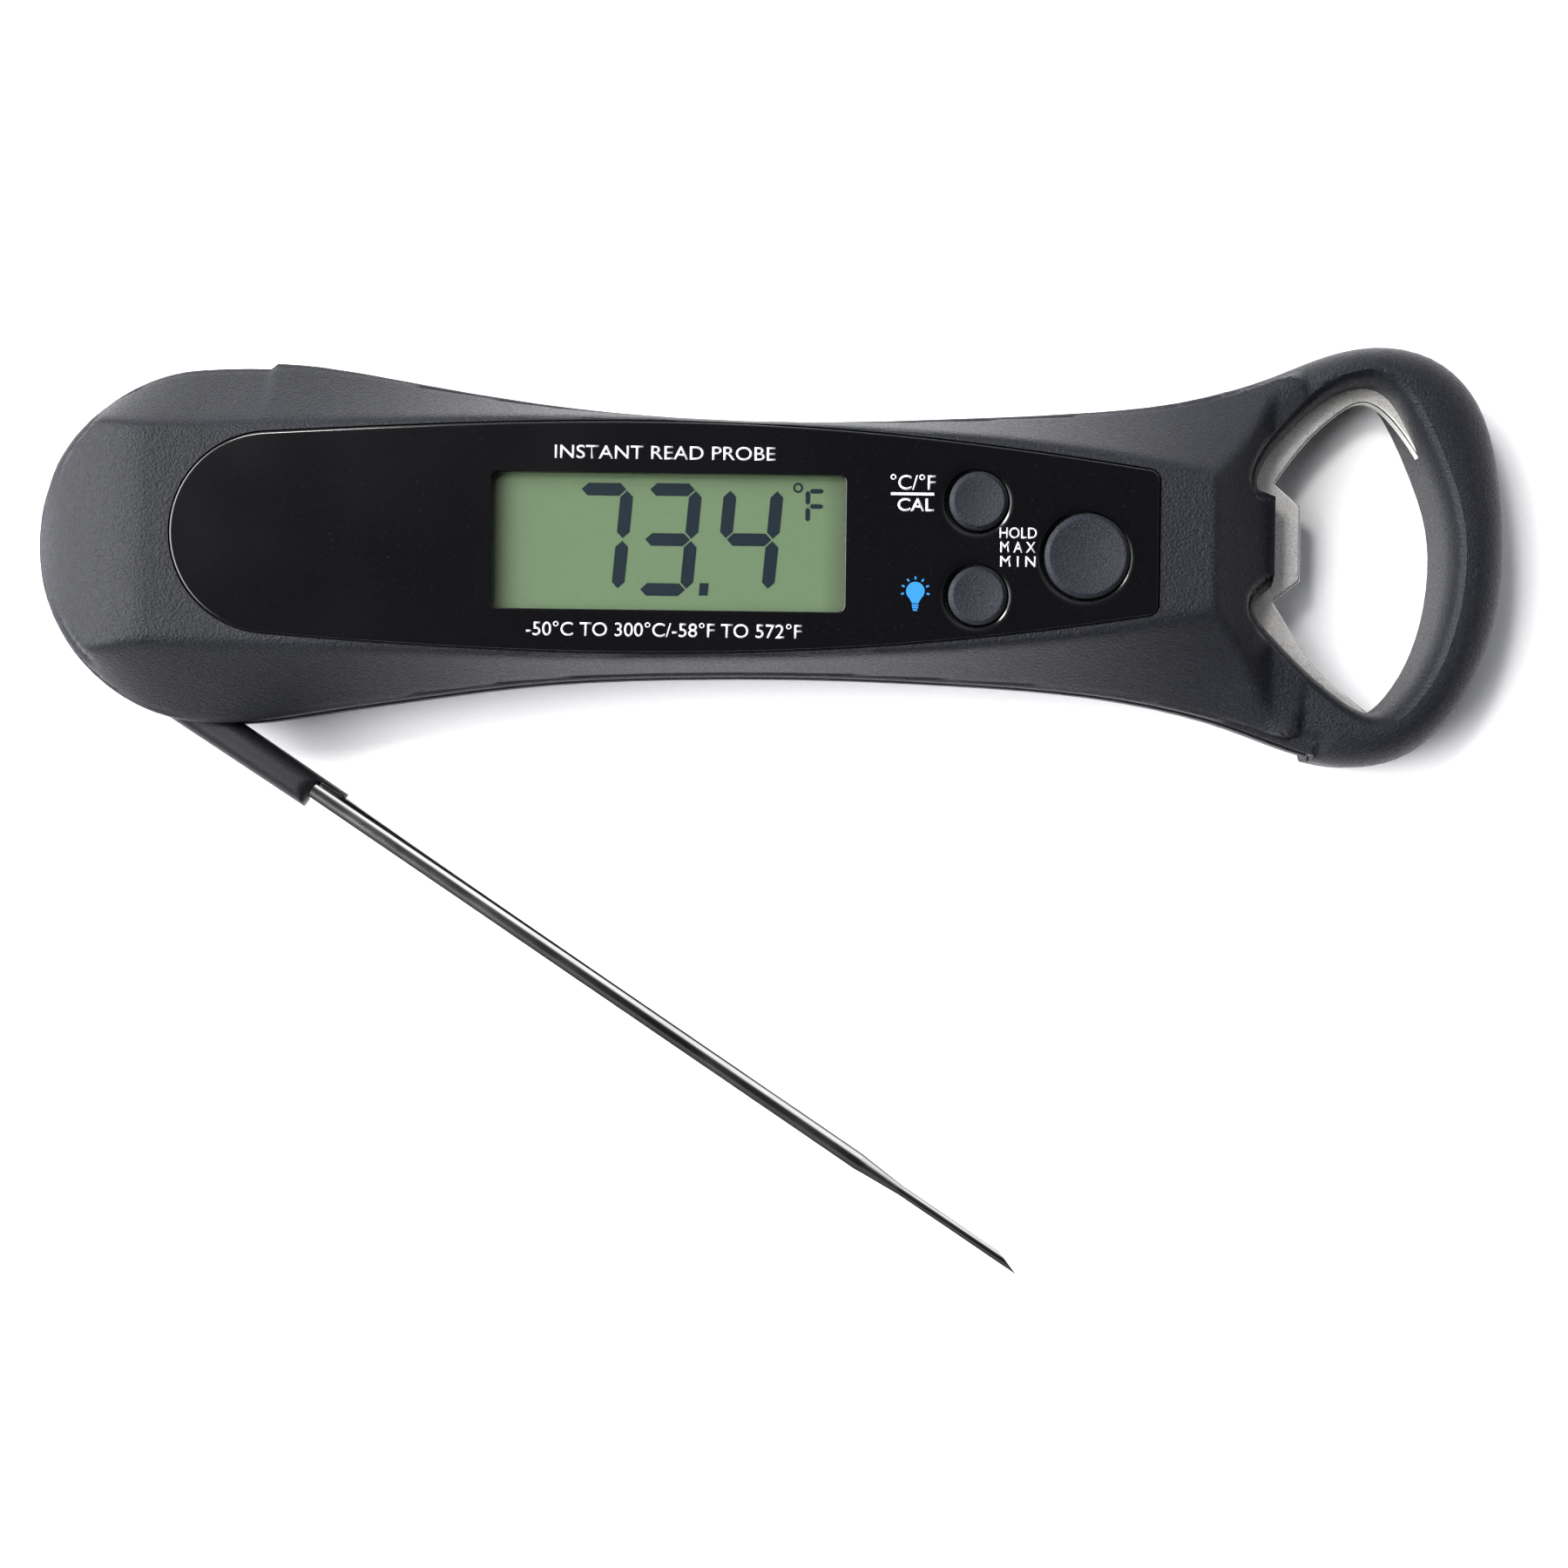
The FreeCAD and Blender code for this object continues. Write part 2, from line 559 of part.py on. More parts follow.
def probe_arm():
    """Round hub with an arm that leaves its edge, thinner than the slot."""
    hub = disc(0, 0, HUB_RADIUS, HUB_BOTTOM, HUB_TOP)
    root = [
        (-7.4, -7.0), (0.6, -14.4), (3.4, -15.0), (ARM_END, -14.6), (ARM_END, -10.7),
        (11.6, -10.7), (9.4, -9.6), (7.4, -7.0),
    ]
    arm = prism(polygon(root), HUB_BOTTOM, HUB_TOP)
    lip = box(ARM_END - 1, 35.3, -11.3, -10.7, HUB_BOTTOM, HUB_TOP)
    body = hub.fuse(arm).removeSplitter().fuse(lip).removeSplitter()
    body = body.cut(disc(0, 0, AXLE_RADIUS + AXLE_CLEARANCE, 0, 30))
    body = body.cut(ring(0, 0, 3.7, 5.3, 8.5, 30))
    body = body.cut(ring(0, 0, 7.5, 8.9, 9.3, 30))
    body = body.cut(disc(6.4, 0, 0.9, 7.4, 30))
    rod_hole = rod_between(along_arm(11.5, ROD_OFFSET, ROD_Z), along_arm(60, ROD_OFFSET, ROD_Z),
                           ROD_RADIUS)
    body = body.cut(rod_hole)
    for start, end in lead_runs():
        body = body.cut(rod_between(start, end, 0.5))
    return opened(body)


def lead_runs():
    """The lead's straight runs in the arm and in the rod."""
    rod_start = along_arm(12.0, ROD_OFFSET, ROD_Z)
    near_groove = along_arm(2.6, -3.7, 9.0)
    return [(near_groove, rod_start)]


def probe_lead():
    """Lead from the hub's groove through the arm and the rod to the sensor."""
    start, corner = lead_runs()[0]
    begin = start.add(corner.sub(start).normalize().multiply(0.4))
    lead = rod_between(begin, corner, 0.4).fuse(Part.makeSphere(0.4, corner))
    lead = lead.fuse(rod_between(corner, along_arm(123.0, ROD_OFFSET, ROD_Z), 0.4))
    return opened(lead)


def probe_tube():
    """Rod, taper, needle and a tip cut at a slant, with a bore for the sensor."""
    def at(u):
        return along_arm(u, ROD_OFFSET, ROD_Z)
    along = Vector(1, 0, 0)
    tube = rod_between(at(12.0), at(TAPER_START), ROD_RADIUS)
    taper = Part.makeCone(ROD_RADIUS, NEEDLE_RADIUS, TAPER_END - TAPER_START, at(TAPER_START), along)
    tube = tube.fuse(taper).fuse(rod_between(at(TAPER_END), at(TIP), NEEDLE_RADIUS))
    wedge = Part.Face(Part.makePolygon([
        Vector(TIP - 4.2, ROD_OFFSET + NEEDLE_RADIUS, 0), Vector(TIP + 0.2, ROD_OFFSET - NEEDLE_RADIUS, 0),
        Vector(TIP + 4.0, ROD_OFFSET + 6, 0), Vector(TIP - 4.2, ROD_OFFSET + 6, 0),
        Vector(TIP - 4.2, ROD_OFFSET + NEEDLE_RADIUS, 0)])).extrude(Vector(0, 0, 20))
    tube = tube.cut(wedge)
    bore = rod_between(at(11.0), at(106.0), 0.95).fuse(rod_between(at(105.0), at(125.2), 0.45))
    return opened(tube.cut(bore).removeSplitter())


def probe_sensor():
    return opened(rod_between(along_arm(123.0, ROD_OFFSET, ROD_Z), along_arm(125.2, ROD_OFFSET, ROD_Z),
                              0.42))


def hub_magnet():
    return opened(disc(6.4, 0, 0.9, 7.4, 9.2))


def hub_seal():
    return opened(Part.makeTorus(8.2, 0.55, Vector(0, 0, 9.88)))


# ---- battery door -----------------------------------------------------------------------
def battery_door():
    x0, x1, y0, y1 = DOOR
    door = rounded_box(x0 + DOOR_GAP, x1 - DOOR_GAP, y0 + DOOR_GAP, y1 - DOOR_GAP, 0, DOOR_THICK, 1.3)
    door = door.cut(disc(x1 - 2.2, CELL_Y, 1.7, -1, 1.0)).cut(disc(x1 - 2.2, CELL_Y, 0.95, -1, 5))
    for step in range(5):
        grip = box(x0 + 3.0 + 1.4 * step, x0 + 3.6 + 1.4 * step, CELL_Y - 3.5, CELL_Y + 3.5, -1, 0.4)
        door = door.cut(grip)
    return door


def door_seal():
    x0, x1, y0, y1 = DOOR
    outer = rounded_box(x0 + 0.35, x1 - 0.35, y0 + 0.35, y1 - 0.35, DOOR_THICK, DOOR_THICK + 0.28, 1.2)
    inner = rounded_box(x0 + 1.0, x1 - 1.0, y0 + 1.0, y1 - 1.0, 0, 5, 0.8)
    return outer.cut(inner)


def door_screw():
    x, y = DOOR[1] - 2.2, CELL_Y
    head = disc(x, y, 1.6, 0.2, 1.0).cut(box(x - 1.1, x + 1.1, y - 0.25, y + 0.25, 0, 0.6))
    return head.fuse(disc(x, y, 0.85, 1.0, 4.4))


# ---- files ----------------------------------------------------------------------------------
def all_parts():
    parts = {
        "front_cover": front_cover(), "rear_cover": rear_cover(),
        "faceplate": faceplate(), "faceplate_gasket": faceplate_gasket(),
        "display_window": display_window(), "lcd_cell": lcd_cell(), "lcd_frame": lcd_frame(),
        "backlight_panel": backlight_panel(), "zebra_strip": zebra_strip(),
        "main_board": main_board(), "display_chip": display_chip(),
        "backlight_led": backlight_led(), "reed_switch": reed_switch(),
        "board_screws": board_screws(), "housing_screws": housing_screws(),
        "battery": battery(), "battery_spring": battery_spring(),
        "battery_contact": battery_contact(), "back_magnets": back_magnets(),
        "opener_plate": opener_plate(), "pivot_axle": pivot_axle(),
        "pivot_washer": pivot_washer(),
        "housing_lead": housing_lead(), "probe_arm": probe_arm(), "probe_tube": probe_tube(),
        "probe_sensor": probe_sensor(), "probe_lead": probe_lead(),
        "hub_magnet": hub_magnet(), "hub_seal": hub_seal(),
        "battery_door": battery_door(), "door_seal": door_seal(), "door_screw": door_screw(),
    }
    for name in KEYS:
        parts[name + "_key"] = key_cap(name)
        parts[name + "_key_dome"] = key_dome(name)
    return parts


os.makedirs("parts", exist_ok=True)
for node, shape in all_parts().items():
    shape.exportStep("parts/" + node + ".step")
    print(node, "solids", len(shape.Solids), "valid", shape.isValid(), "volume", round(shape.Volume, 1))
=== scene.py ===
import math

import bmesh
import bpy
import numpy as np
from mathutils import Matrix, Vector
from mathutils.bvhtree import BVHTree
from mathutils.geometry import delaunay_2d_cdt


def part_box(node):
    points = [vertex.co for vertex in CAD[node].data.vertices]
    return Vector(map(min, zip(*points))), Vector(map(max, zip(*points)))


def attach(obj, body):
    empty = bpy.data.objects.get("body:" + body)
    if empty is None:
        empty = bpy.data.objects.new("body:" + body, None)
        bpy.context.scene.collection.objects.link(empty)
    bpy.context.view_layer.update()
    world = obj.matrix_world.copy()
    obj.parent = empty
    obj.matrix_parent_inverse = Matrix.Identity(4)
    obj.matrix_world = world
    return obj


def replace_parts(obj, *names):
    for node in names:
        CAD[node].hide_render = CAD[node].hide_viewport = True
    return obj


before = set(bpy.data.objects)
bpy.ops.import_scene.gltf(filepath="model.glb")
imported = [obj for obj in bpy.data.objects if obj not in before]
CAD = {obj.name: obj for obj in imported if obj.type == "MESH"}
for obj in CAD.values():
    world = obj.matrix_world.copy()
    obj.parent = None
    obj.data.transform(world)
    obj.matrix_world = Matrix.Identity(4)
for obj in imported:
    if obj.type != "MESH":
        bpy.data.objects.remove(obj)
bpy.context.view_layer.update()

# Lengths are millimetres in the numbers below and metres in the meshes.
MM = 0.001

FRONT_TOP = 19.6          # flat front face of the handle
PARTING = 10.5            # where the covers meet along the handle
LOOP_PARTING = 6.4        # where they meet in the loop
STEP_X = 124.0
FOOT_Z = 11.4             # lower edge of the bevels
AXIS_Y = 0.7              # middle of the faceplate
SEAM_X = 116.0            # the handle is meshed in rows up to here, the loop beyond it
LOOP_CENTRE = (139.5, 1.0)
LOOP_CROWN = 12.4         # highest line of the loop's bar
MOUTH_RUN = 1.4           # width of the rounding at the opening's rim
THINNEST = 0.3            # least thickness of the front skin
RIM_STRAIGHT_X = 129.35   # straight edge of the opening, where the steel tooth comes out
RIM_STRAIGHT_Y = (-3.5, 7.0)
SLOT_END = ((131.2, 131.25, 134.5), (-11.3, -14.6, -16.6))   # where the slot opens at its far end


# ---- small helpers -----------------------------------------------------------------------
def mm_box(node):
    low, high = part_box(node)
    return np.array(low) / MM, np.array(high) / MM


def tree_of(node):
    mesh = CAD[node].data
    return BVHTree.FromPolygons([v.co[:] for v in mesh.vertices], [p.vertices[:] for p in mesh.polygons])


def cast(tree, start, direction):
    """Where a ray given in millimetres first meets a CAD node, or None."""
    hit = tree.ray_cast(Vector(start) * MM, Vector(direction))[0]
    return None if hit is None else np.array(hit) / MM


def smooth_min(a, b, k):
    h = np.maximum(k - np.abs(a - b), 0.0) / k
    return np.minimum(a, b) - h * h * k / 4


def smooth_max(a, b, k):
    return -smooth_min(-a, -b, k)


def quarter_round(d, start, rise, run):
    """Height of an edge rounded like a quarter ellipse, at distance d from the edge."""
    t = np.clip(1.0 - d / run, 0.0, 1.0)
    return start + rise * np.sqrt(1.0 - t * t)


def distances(points, line):
    """Distance from each point to a polyline, both in the plane."""
    start, end = line[:-1], line[1:]
    run = end - start
    square = np.maximum((run ** 2).sum(1), 1e-12)
    best = np.full(len(points), 1e9)
    for s, r, q in zip(start, run, square):
        t = np.clip(((points - s) @ r) / q, 0.0, 1.0)
        gap = points - s - t[:, None] * r
        best = np.minimum(best, (gap ** 2).sum(1))
    return np.sqrt(best)


def inside(points, loop):
    """Which points lie inside a closed loop, by counting crossings."""
    x, y = points[:, 0], points[:, 1]
    odd = np.zeros(len(points), bool)
    for (x0, y0), (x1, y1) in zip(loop, np.roll(loop, -1, axis=0)):
        across = (y0 > y) != (y1 > y)
        if across.any():
            at = x0 + (y - y0) * (x1 - x0) / (y1 - y0 if y1 != y0 else 1e-12)
            odd ^= across & (x < at)
    return odd


def link(name, mesh, body):
    piece = bpy.data.objects.new(name, mesh)
    bpy.context.scene.collection.objects.link(piece)
    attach(piece, body)
    return piece


def smooth(mesh, degrees):
    for face in mesh.polygons:
        face.use_smooth = True
    mesh.set_sharp_from_angle(angle=math.radians(degrees))


def mesh_from(name, points, faces):
    mesh = bpy.data.meshes.new(name)
    mesh.from_pydata([tuple(p) for p in points], [], [tuple(f) for f in faces])
    mesh.update()
    return mesh


def finished(piece):
    """Put a piece's modifiers into its mesh."""
    graph = bpy.context.evaluated_depsgraph_get()
    graph.update()
    made = bpy.data.meshes.new_from_object(piece.evaluated_get(graph))
    piece.modifiers.clear()
    piece.data = made


# ---- materials -----------------------------------------------------------------------------
class Shader:
    """A node material with a few short ways to add the usual nodes."""

    def __init__(self, name, colour, roughness, metallic=0.0):
        self.material = bpy.data.materials.new(name)
        self.material.use_nodes = True
        self.tree = self.material.node_tree
        self.surface = self.tree.nodes["Principled BSDF"]
        self.surface.inputs["Base Color"].default_value = (*colour, 1.0)
        self.surface.inputs["Roughness"].default_value = roughness
        self.surface.inputs["Metallic"].default_value = metallic
        self.where = self.tree.nodes.new("ShaderNodeTexCoord").outputs["Object"]

    def set(self, socket, value):
        self.surface.inputs[socket].default_value = value

    def join(self, output, socket):
        self.tree.links.new(output, self.surface.inputs[socket])

    def noise(self, size_mm, detail=2.0, rough=0.5, stretch=None):
        source = self.where
        if stretch:
            mapping = self.tree.nodes.new("ShaderNodeMapping")
            mapping.inputs["Scale"].default_value = stretch
            self.tree.links.new(source, mapping.inputs["Vector"])
            source = mapping.outputs["Vector"]
        node = self.tree.nodes.new("ShaderNodeTexNoise")
        node.inputs["Scale"].default_value = 1.0 / (size_mm * MM)
        node.inputs["Detail"].default_value = detail
        node.inputs["Roughness"].default_value = rough
        self.tree.links.new(source, node.inputs["Vector"])
        return node.outputs["Fac"]

    def ramp(self, factor, stops):
        node = self.tree.nodes.new("ShaderNodeValToRGB")
        band = node.color_ramp
        while len(band.elements) < len(stops):
            band.elements.new(0.5)
        for element, (place, colour) in zip(band.elements, stops):
            element.position = place
            element.color = (*colour, 1.0) if len(colour) == 3 else colour
        self.tree.links.new(factor, node.inputs["Fac"])
        return node.outputs["Color"]

    def spread(self, factor, low, high, to_low, to_high):
        node = self.tree.nodes.new("ShaderNodeMapRange")
        for socket, value in (("From Min", low), ("From Max", high), ("To Min", to_low), ("To Max", to_high)):
            node.inputs[socket].default_value = value
        self.tree.links.new(factor, node.inputs["Value"])
        return node.outputs["Result"]

    def mix(self, factor, first, second, kind="MIX"):
        node = self.tree.nodes.new("ShaderNodeMix")
        node.data_type = "RGBA"
        node.blend_type = kind
        for socket, value in ((0, factor), (6, first), (7, second)):
            if isinstance(value, bpy.types.NodeSocket):
                self.tree.links.new(value, node.inputs[socket])
            elif socket == 0:
                node.inputs[0].default_value = value
            else:
                node.inputs[socket].default_value = (*value, 1.0)
        return node.outputs[2]

    def bump(self, height, strength, depth_mm, below=None):
        node = self.tree.nodes.new("ShaderNodeBump")
        node.inputs["Strength"].default_value = strength
        node.inputs["Distance"].default_value = depth_mm * MM
        self.tree.links.new(height, node.inputs["Height"])
        if below:
            self.tree.links.new(below, node.inputs["Normal"])
        return node.outputs["Normal"]


def grained_plastic(name, dark, light, grain_mm, roughness, depth_mm):
    """Moulded plastic with a spark-eroded texture: fine grains that catch the light."""
    shader = Shader(name, dark, roughness)
    grain = shader.noise(grain_mm, detail=3.0, rough=0.6)
    fine = shader.noise(grain_mm * 0.45, detail=2.0)
    cloud = shader.noise(9.0, detail=2.0)
    flecks = shader.ramp(fine, [(0.44, dark), (0.72, light)])
    tinted = shader.mix(shader.spread(cloud, 0.3, 0.7, 0.0, 0.35), flecks, tuple(c * 1.5 for c in dark))
    shader.join(tinted, "Base Color")
    shader.join(shader.spread(grain, 0.3, 0.7, roughness - 0.08, roughness + 0.12), "Roughness")
    coarse = shader.bump(grain, 0.75, depth_mm)
    shader.join(shader.bump(fine, 0.5, depth_mm * 0.5, below=coarse), "Normal")
    shader.set("Specular IOR Level", 0.20)
    return shader.material


def glossy_plastic():
    shader = Shader("gloss_black_plastic", (0.003, 0.003, 0.004), 0.12)
    dust = shader.noise(0.35, detail=4.0, rough=0.7)
    specks = shader.ramp(dust, [(0.60, (0.0025, 0.0025, 0.0032)), (0.80, (0.014, 0.014, 0.016))])
    shader.join(specks, "Base Color")
    waves = shader.noise(14.0, detail=1.0)
    shader.join(shader.spread(waves, 0.3, 0.7, 0.11, 0.14), "Roughness")
    shader.join(shader.bump(dust, 0.03, 0.01), "Normal")
    return shader.material


def blasted_steel():
    """Bead-blasted stainless with bright cut edges."""
    shader = Shader("blasted_stainless", (0.66, 0.64, 0.61), 0.42, metallic=1.0)
    grain = shader.noise(0.22, detail=4.0, rough=0.7)
    cloud = shader.noise(3.0, detail=3.0)
    stops = [(0.34, (0.66, 0.64, 0.61)), (0.52, (0.93, 0.915, 0.89)), (0.70, (1.0, 0.99, 0.97))]
    speckle = shader.ramp(grain, stops)
    warmth = shader.spread(cloud, 0.35, 0.7, 0.0, 0.25)
    shader.join(shader.mix(warmth, speckle, (0.78, 0.74, 0.69)), "Base Color")
    shader.join(shader.spread(grain, 0.3, 0.7, 0.34, 0.52), "Roughness")
    shader.join(shader.bump(grain, 0.35, 0.02), "Normal")
    return shader.material


def polished_steel():
    shader = Shader("polished_stainless", (0.80, 0.78, 0.75), 0.10, metallic=1.0)
    drawn = shader.noise(0.25, detail=3.0, stretch=(0.03, 0.03, 1.0))
    cloud = shader.noise(6.0, detail=2.0)
    shader.join(shader.ramp(cloud, [(0.35, (0.70, 0.675, 0.64)), (0.65, (0.83, 0.82, 0.80))]), "Base Color")
    shader.join(shader.spread(drawn, 0.3, 0.7, 0.07, 0.17), "Roughness")
    shader.join(shader.bump(drawn, 0.08, 0.01), "Normal")
    return shader.material


def plain_metal(name, colour, roughness):
    shader = Shader(name, colour, roughness, metallic=1.0)
    turned = shader.noise(0.15, detail=3.0)
    shader.join(shader.spread(turned, 0.3, 0.7, roughness - 0.06, roughness + 0.10), "Roughness")
    shader.join(shader.bump(turned, 0.12, 0.01), "Normal")
    tint = tuple(c * 0.8 for c in colour)
    shader.join(shader.ramp(shader.noise(1.2), [(0.35, tint), (0.65, colour)]), "Base Color")
    return shader.material


def soft_material(name, colour, roughness, grain_mm=0.2):
    """Rubber, unfinished mouldings, board and jacket: matte with a fine uneven skin."""
    shader = Shader(name, colour, roughness)
    grain = shader.noise(grain_mm, detail=3.0)
    darker = tuple(c * 0.75 for c in colour)
    shader.join(shader.ramp(grain, [(0.35, darker), (0.65, colour)]), "Base Color")
    shader.join(shader.spread(grain, 0.3, 0.7, roughness - 0.05, roughness + 0.08), "Roughness")
    shader.join(shader.bump(grain, 0.15, 0.01), "Normal")
    return shader.material


def display_glass():
    """Reflective grey-green display, with painted shade: darker towards the ends of its window, where the
    bezel shades it.
    """
    shader = Shader("display_green", (0.23, 0.33, 0.18), 0.35)
    shader.set("Specular IOR Level", 0.12)
    low, high = mm_box("lcd_cell")
    split = shader.tree.nodes.new("ShaderNodeSeparateXYZ")
    shader.tree.links.new(shader.where, split.inputs["Vector"])
    window_low, window_high = (low[0] + 1.3) * MM, (high[0] - 1.3) * MM
    # painted shade: the colour darkens over the last few millimetres at each end of the window, as the bezel
    # shades it
    near_end_shade = shader.spread(split.outputs["X"], window_low, window_low + 3.2 * MM, 0.0, 1.0)
    far_end_shade = shader.spread(split.outputs["X"], window_high - 2.6 * MM, window_high, 1.0, 0.0)
    both = shader.tree.nodes.new("ShaderNodeMath")
    both.operation = "MINIMUM"
    shader.tree.links.new(near_end_shade, both.inputs[0])
    shader.tree.links.new(far_end_shade, both.inputs[1])
    # mix from the painted-shade colour at the window's ends to the display's own colour in the middle
    body = shader.mix(both.outputs[0], (0.046, 0.062, 0.038), (0.076, 0.116, 0.062))
    cells = shader.noise(0.16, detail=2.0)
    uneven = shader.spread(cells, 0.35, 0.7, 0.0, 0.22)
    shader.join(shader.mix(uneven, body, (0.135, 0.180, 0.110)), "Base Color")
    return shader.material


def clear_window():
    shader = Shader("clear_window", (0.05, 0.06, 0.05), 0.05)
    shader.set("Alpha", 0.02)
    scratches = shader.noise(0.5, detail=3.0)
    shader.join(shader.spread(scratches, 0.3, 0.7, 0.03, 0.10), "Roughness")
    return shader.material


def ink(name, colour, roughness=0.5, specular=0.5):
    shader = Shader(name, colour, roughness)
    shader.set("Specular IOR Level", specular)
    mottle = shader.noise(0.12, detail=2.0)
    shader.join(shader.ramp(mottle, [(0.3, tuple(c * 0.85 for c in colour)), (0.7, colour)]), "Base Color")
    return shader.material


COVER = grained_plastic(
    "grained_black_plastic", (0.0026, 0.0030, 0.0045), (0.020, 0.022, 0.031), 0.30, 0.42, 0.20)
KEYCAP = grained_plastic(
    "grained_key_plastic", (0.006, 0.007, 0.010), (0.028, 0.031, 0.040), 0.28, 0.48, 0.10)
ARM = grained_plastic("satin_arm_plastic", (0.005, 0.005, 0.006), (0.022, 0.023, 0.026), 0.22, 0.36, 0.03)
GLOSS = glossy_plastic()
BLASTED = blasted_steel()
POLISHED = polished_steel()
SCREW = plain_metal("zinc_screw", (0.55, 0.55, 0.56), 0.30)
NICKEL = plain_metal("nickel_plate", (0.70, 0.69, 0.66), 0.25)
RUBBER = soft_material("black_rubber", (0.030, 0.030, 0.033), 0.75)
INNER = soft_material("unfinished_moulding", (0.55, 0.55, 0.53), 0.60)
GUIDE = soft_material("light_guide", (0.80, 0.80, 0.78), 0.25, grain_mm=1.0)
BOARD = soft_material("solder_mask", (0.015, 0.13, 0.05), 0.40)
RESIN = soft_material("epoxy", (0.015, 0.015, 0.016), 0.45)
JACKET = soft_material("lead_jacket", (0.35, 0.35, 0.36), 0.60)
SLEEVE = soft_material("cell_sleeve", (0.20, 0.22, 0.26), 0.35, grain_mm=2.0)
GREEN = display_glass()
CLEAR = clear_window()
WHITE_INK = ink("white_legend", (0.55, 0.56, 0.58))
BLUE_INK = ink("blue_legend", (0.002, 0.165, 0.440))
SEGMENT_INK = ink("display_segment", (0.003, 0.009, 0.015), 0.5, 0.1)

MATERIAL_OF = {
    "rear_cover": COVER, "battery_door": COVER, "faceplate_gasket": RUBBER, "display_window": CLEAR,
    "lcd_cell": GREEN, "lcd_frame": INNER, "backlight_panel": GUIDE, "backlight_led": GUIDE,
    "zebra_strip": RUBBER, "main_board": BOARD, "display_chip": RESIN, "reed_switch": GUIDE,
    "board_screws": SCREW, "housing_screws": SCREW, "door_screw": SCREW, "pivot_axle": SCREW,
    "pivot_washer": SCREW, "battery": SLEEVE, "battery_spring": NICKEL, "battery_contact": NICKEL,
    "back_magnets": NICKEL, "hub_magnet": NICKEL, "housing_lead": JACKET, "probe_lead": JACKET,
    "probe_sensor": RESIN, "hub_seal": RUBBER, "door_seal": RUBBER, "probe_arm": ARM,
    "probe_tube": POLISHED, "unit_key": KEYCAP, "light_key": KEYCAP, "hold_key": KEYCAP,
    "unit_key_dome": RUBBER, "light_key_dome": RUBBER, "hold_key_dome": RUBBER,
    "front_cover": COVER, "faceplate": GLOSS, "opener_plate": BLASTED,
}


def finish_cad_nodes():
    for node, material in MATERIAL_OF.items():
        mesh = CAD[node].data
        mesh.materials.clear()
        mesh.materials.append(material)


# ---- outline of the handle, measured on the CAD model ----------------------------------------
REAR = tree_of("rear_cover")
FRONT = tree_of("front_cover")
PROBE_Z = 5.0             # height below the slot, where the rear cover has the whole outline
FAR = 80.0


def side_y(x, side):
    """Outline of the handle at x, on its upper (+1) or lower (-1) side."""
    return cast(REAR, (x, side * FAR, PROBE_Z), (0, -side, 0))[1]


def polar(tree, degrees, outward, z):
    """Where a ray along one bearing from the loop's centre meets the wall from inside or outside."""
    a = math.radians(degrees)
    cx, cy = LOOP_CENTRE
    ray = np.array((math.cos(a), math.sin(a), 0.0))
    if outward:
        return cast(tree, (cx, cy, z), ray)[:2]
    start = np.array((cx, cy, z)) + FAR * ray
    return cast(tree, start, -ray)[:2]


LEFT_X = cast(REAR, (-FAR, AXIS_Y - 1.0, PROBE_Z), (1, 0, 0))[0] + 0.02
RIM = np.array([polar(REAR, a, True, PROBE_Z) for a in np.arange(0.0, 360.0, 1.5)])
LOOP_TURN_X = 132.0


def loop_outline():
    """Outline beyond the seam: along the upper side, round the loop, back along the lower side."""
    xs = np.arange(SEAM_X, LOOP_TURN_X, 0.7)
    upper = [(x, side_y(x, 1)) for x in xs]
    lower = [(x, side_y(x, -1)) for x in xs[::-1]]
    round_end = [polar(REAR, a, False, PROBE_Z) for a in np.arange(125.0, -125.0, -0.8)]
    kept = [p for p in round_end if p[0] > LOOP_TURN_X]
    return np.array(upper + kept + lower)


OUTLINE_LOOP = loop_outline()


def handle_stations():
    """X of the mesh rows, close together at the round end."""
    reach = 12.0
    near = [LEFT_X + reach * (1 - math.cos(math.radians(a))) for a in np.arange(0.0, 90.0, 3.5)]
    count = int(round((SEAM_X - LEFT_X - reach) / 0.75))
    return np.array(near + list(np.linspace(LEFT_X + reach, SEAM_X, count)))


STATIONS = handle_stations()
UPPER_Y = np.array([side_y(x, 1) for x in STATIONS])
LOWER_Y = np.array([side_y(x, -1) for x in STATIONS])


def top_profile():
    """Height of the front face along the middle: domed end, flat face, slope to the opening."""
    xs = np.concatenate([np.linspace(LEFT_X + 0.1, 4.4, 40), np.linspace(121.0, 129.2, 30)])
    hits = [cast(FRONT, (x, AXIS_Y, 40.0), (0, 0, -1)) for x in xs]
    zs = [PARTING if hit is None else min(hit[2], FRONT_TOP) for hit in hits]
    return xs, np.array(zs)


TOP_X, TOP_Z = top_profile()


def crease_line(side):
    """Y of the crease between the front face and the bevel, along the handle."""
    xs = np.arange(8.0, 121.0, 4.0)
    ys = []
    for x in xs:
        high = cast(FRONT, (x, side * FAR, 18.8), (0, -side, 0))[1]
        low = cast(FRONT, (x, side * FAR, 14.0), (0, -side, 0))[1]
        ys.append(high + (high - low) * (FRONT_TOP - 18.8) / (18.8 - 14.0))
    slope = (ys[-1] - ys[-4]) / (xs[-1] - xs[-4])
    xs = np.append(xs, 134.0)
    ys = np.append(ys, ys[-1] + slope * (134.0 - xs[-2]))
    return xs, ys


CREASE = {side: crease_line(side) for side in (1, -1)}
OUTLINE_ALL = np.concatenate([
    np.column_stack([STATIONS, UPPER_Y]), OUTLINE_LOOP, np.column_stack([STATIONS, LOWER_Y])[::-1],
])
EDGE_X = np.concatenate([STATIONS, np.linspace(SEAM_X + 0.5, 140.0, 60)])
EDGE_Y = {side: np.array([side_y(x, side) for x in EDGE_X]) for side in (1, -1)}


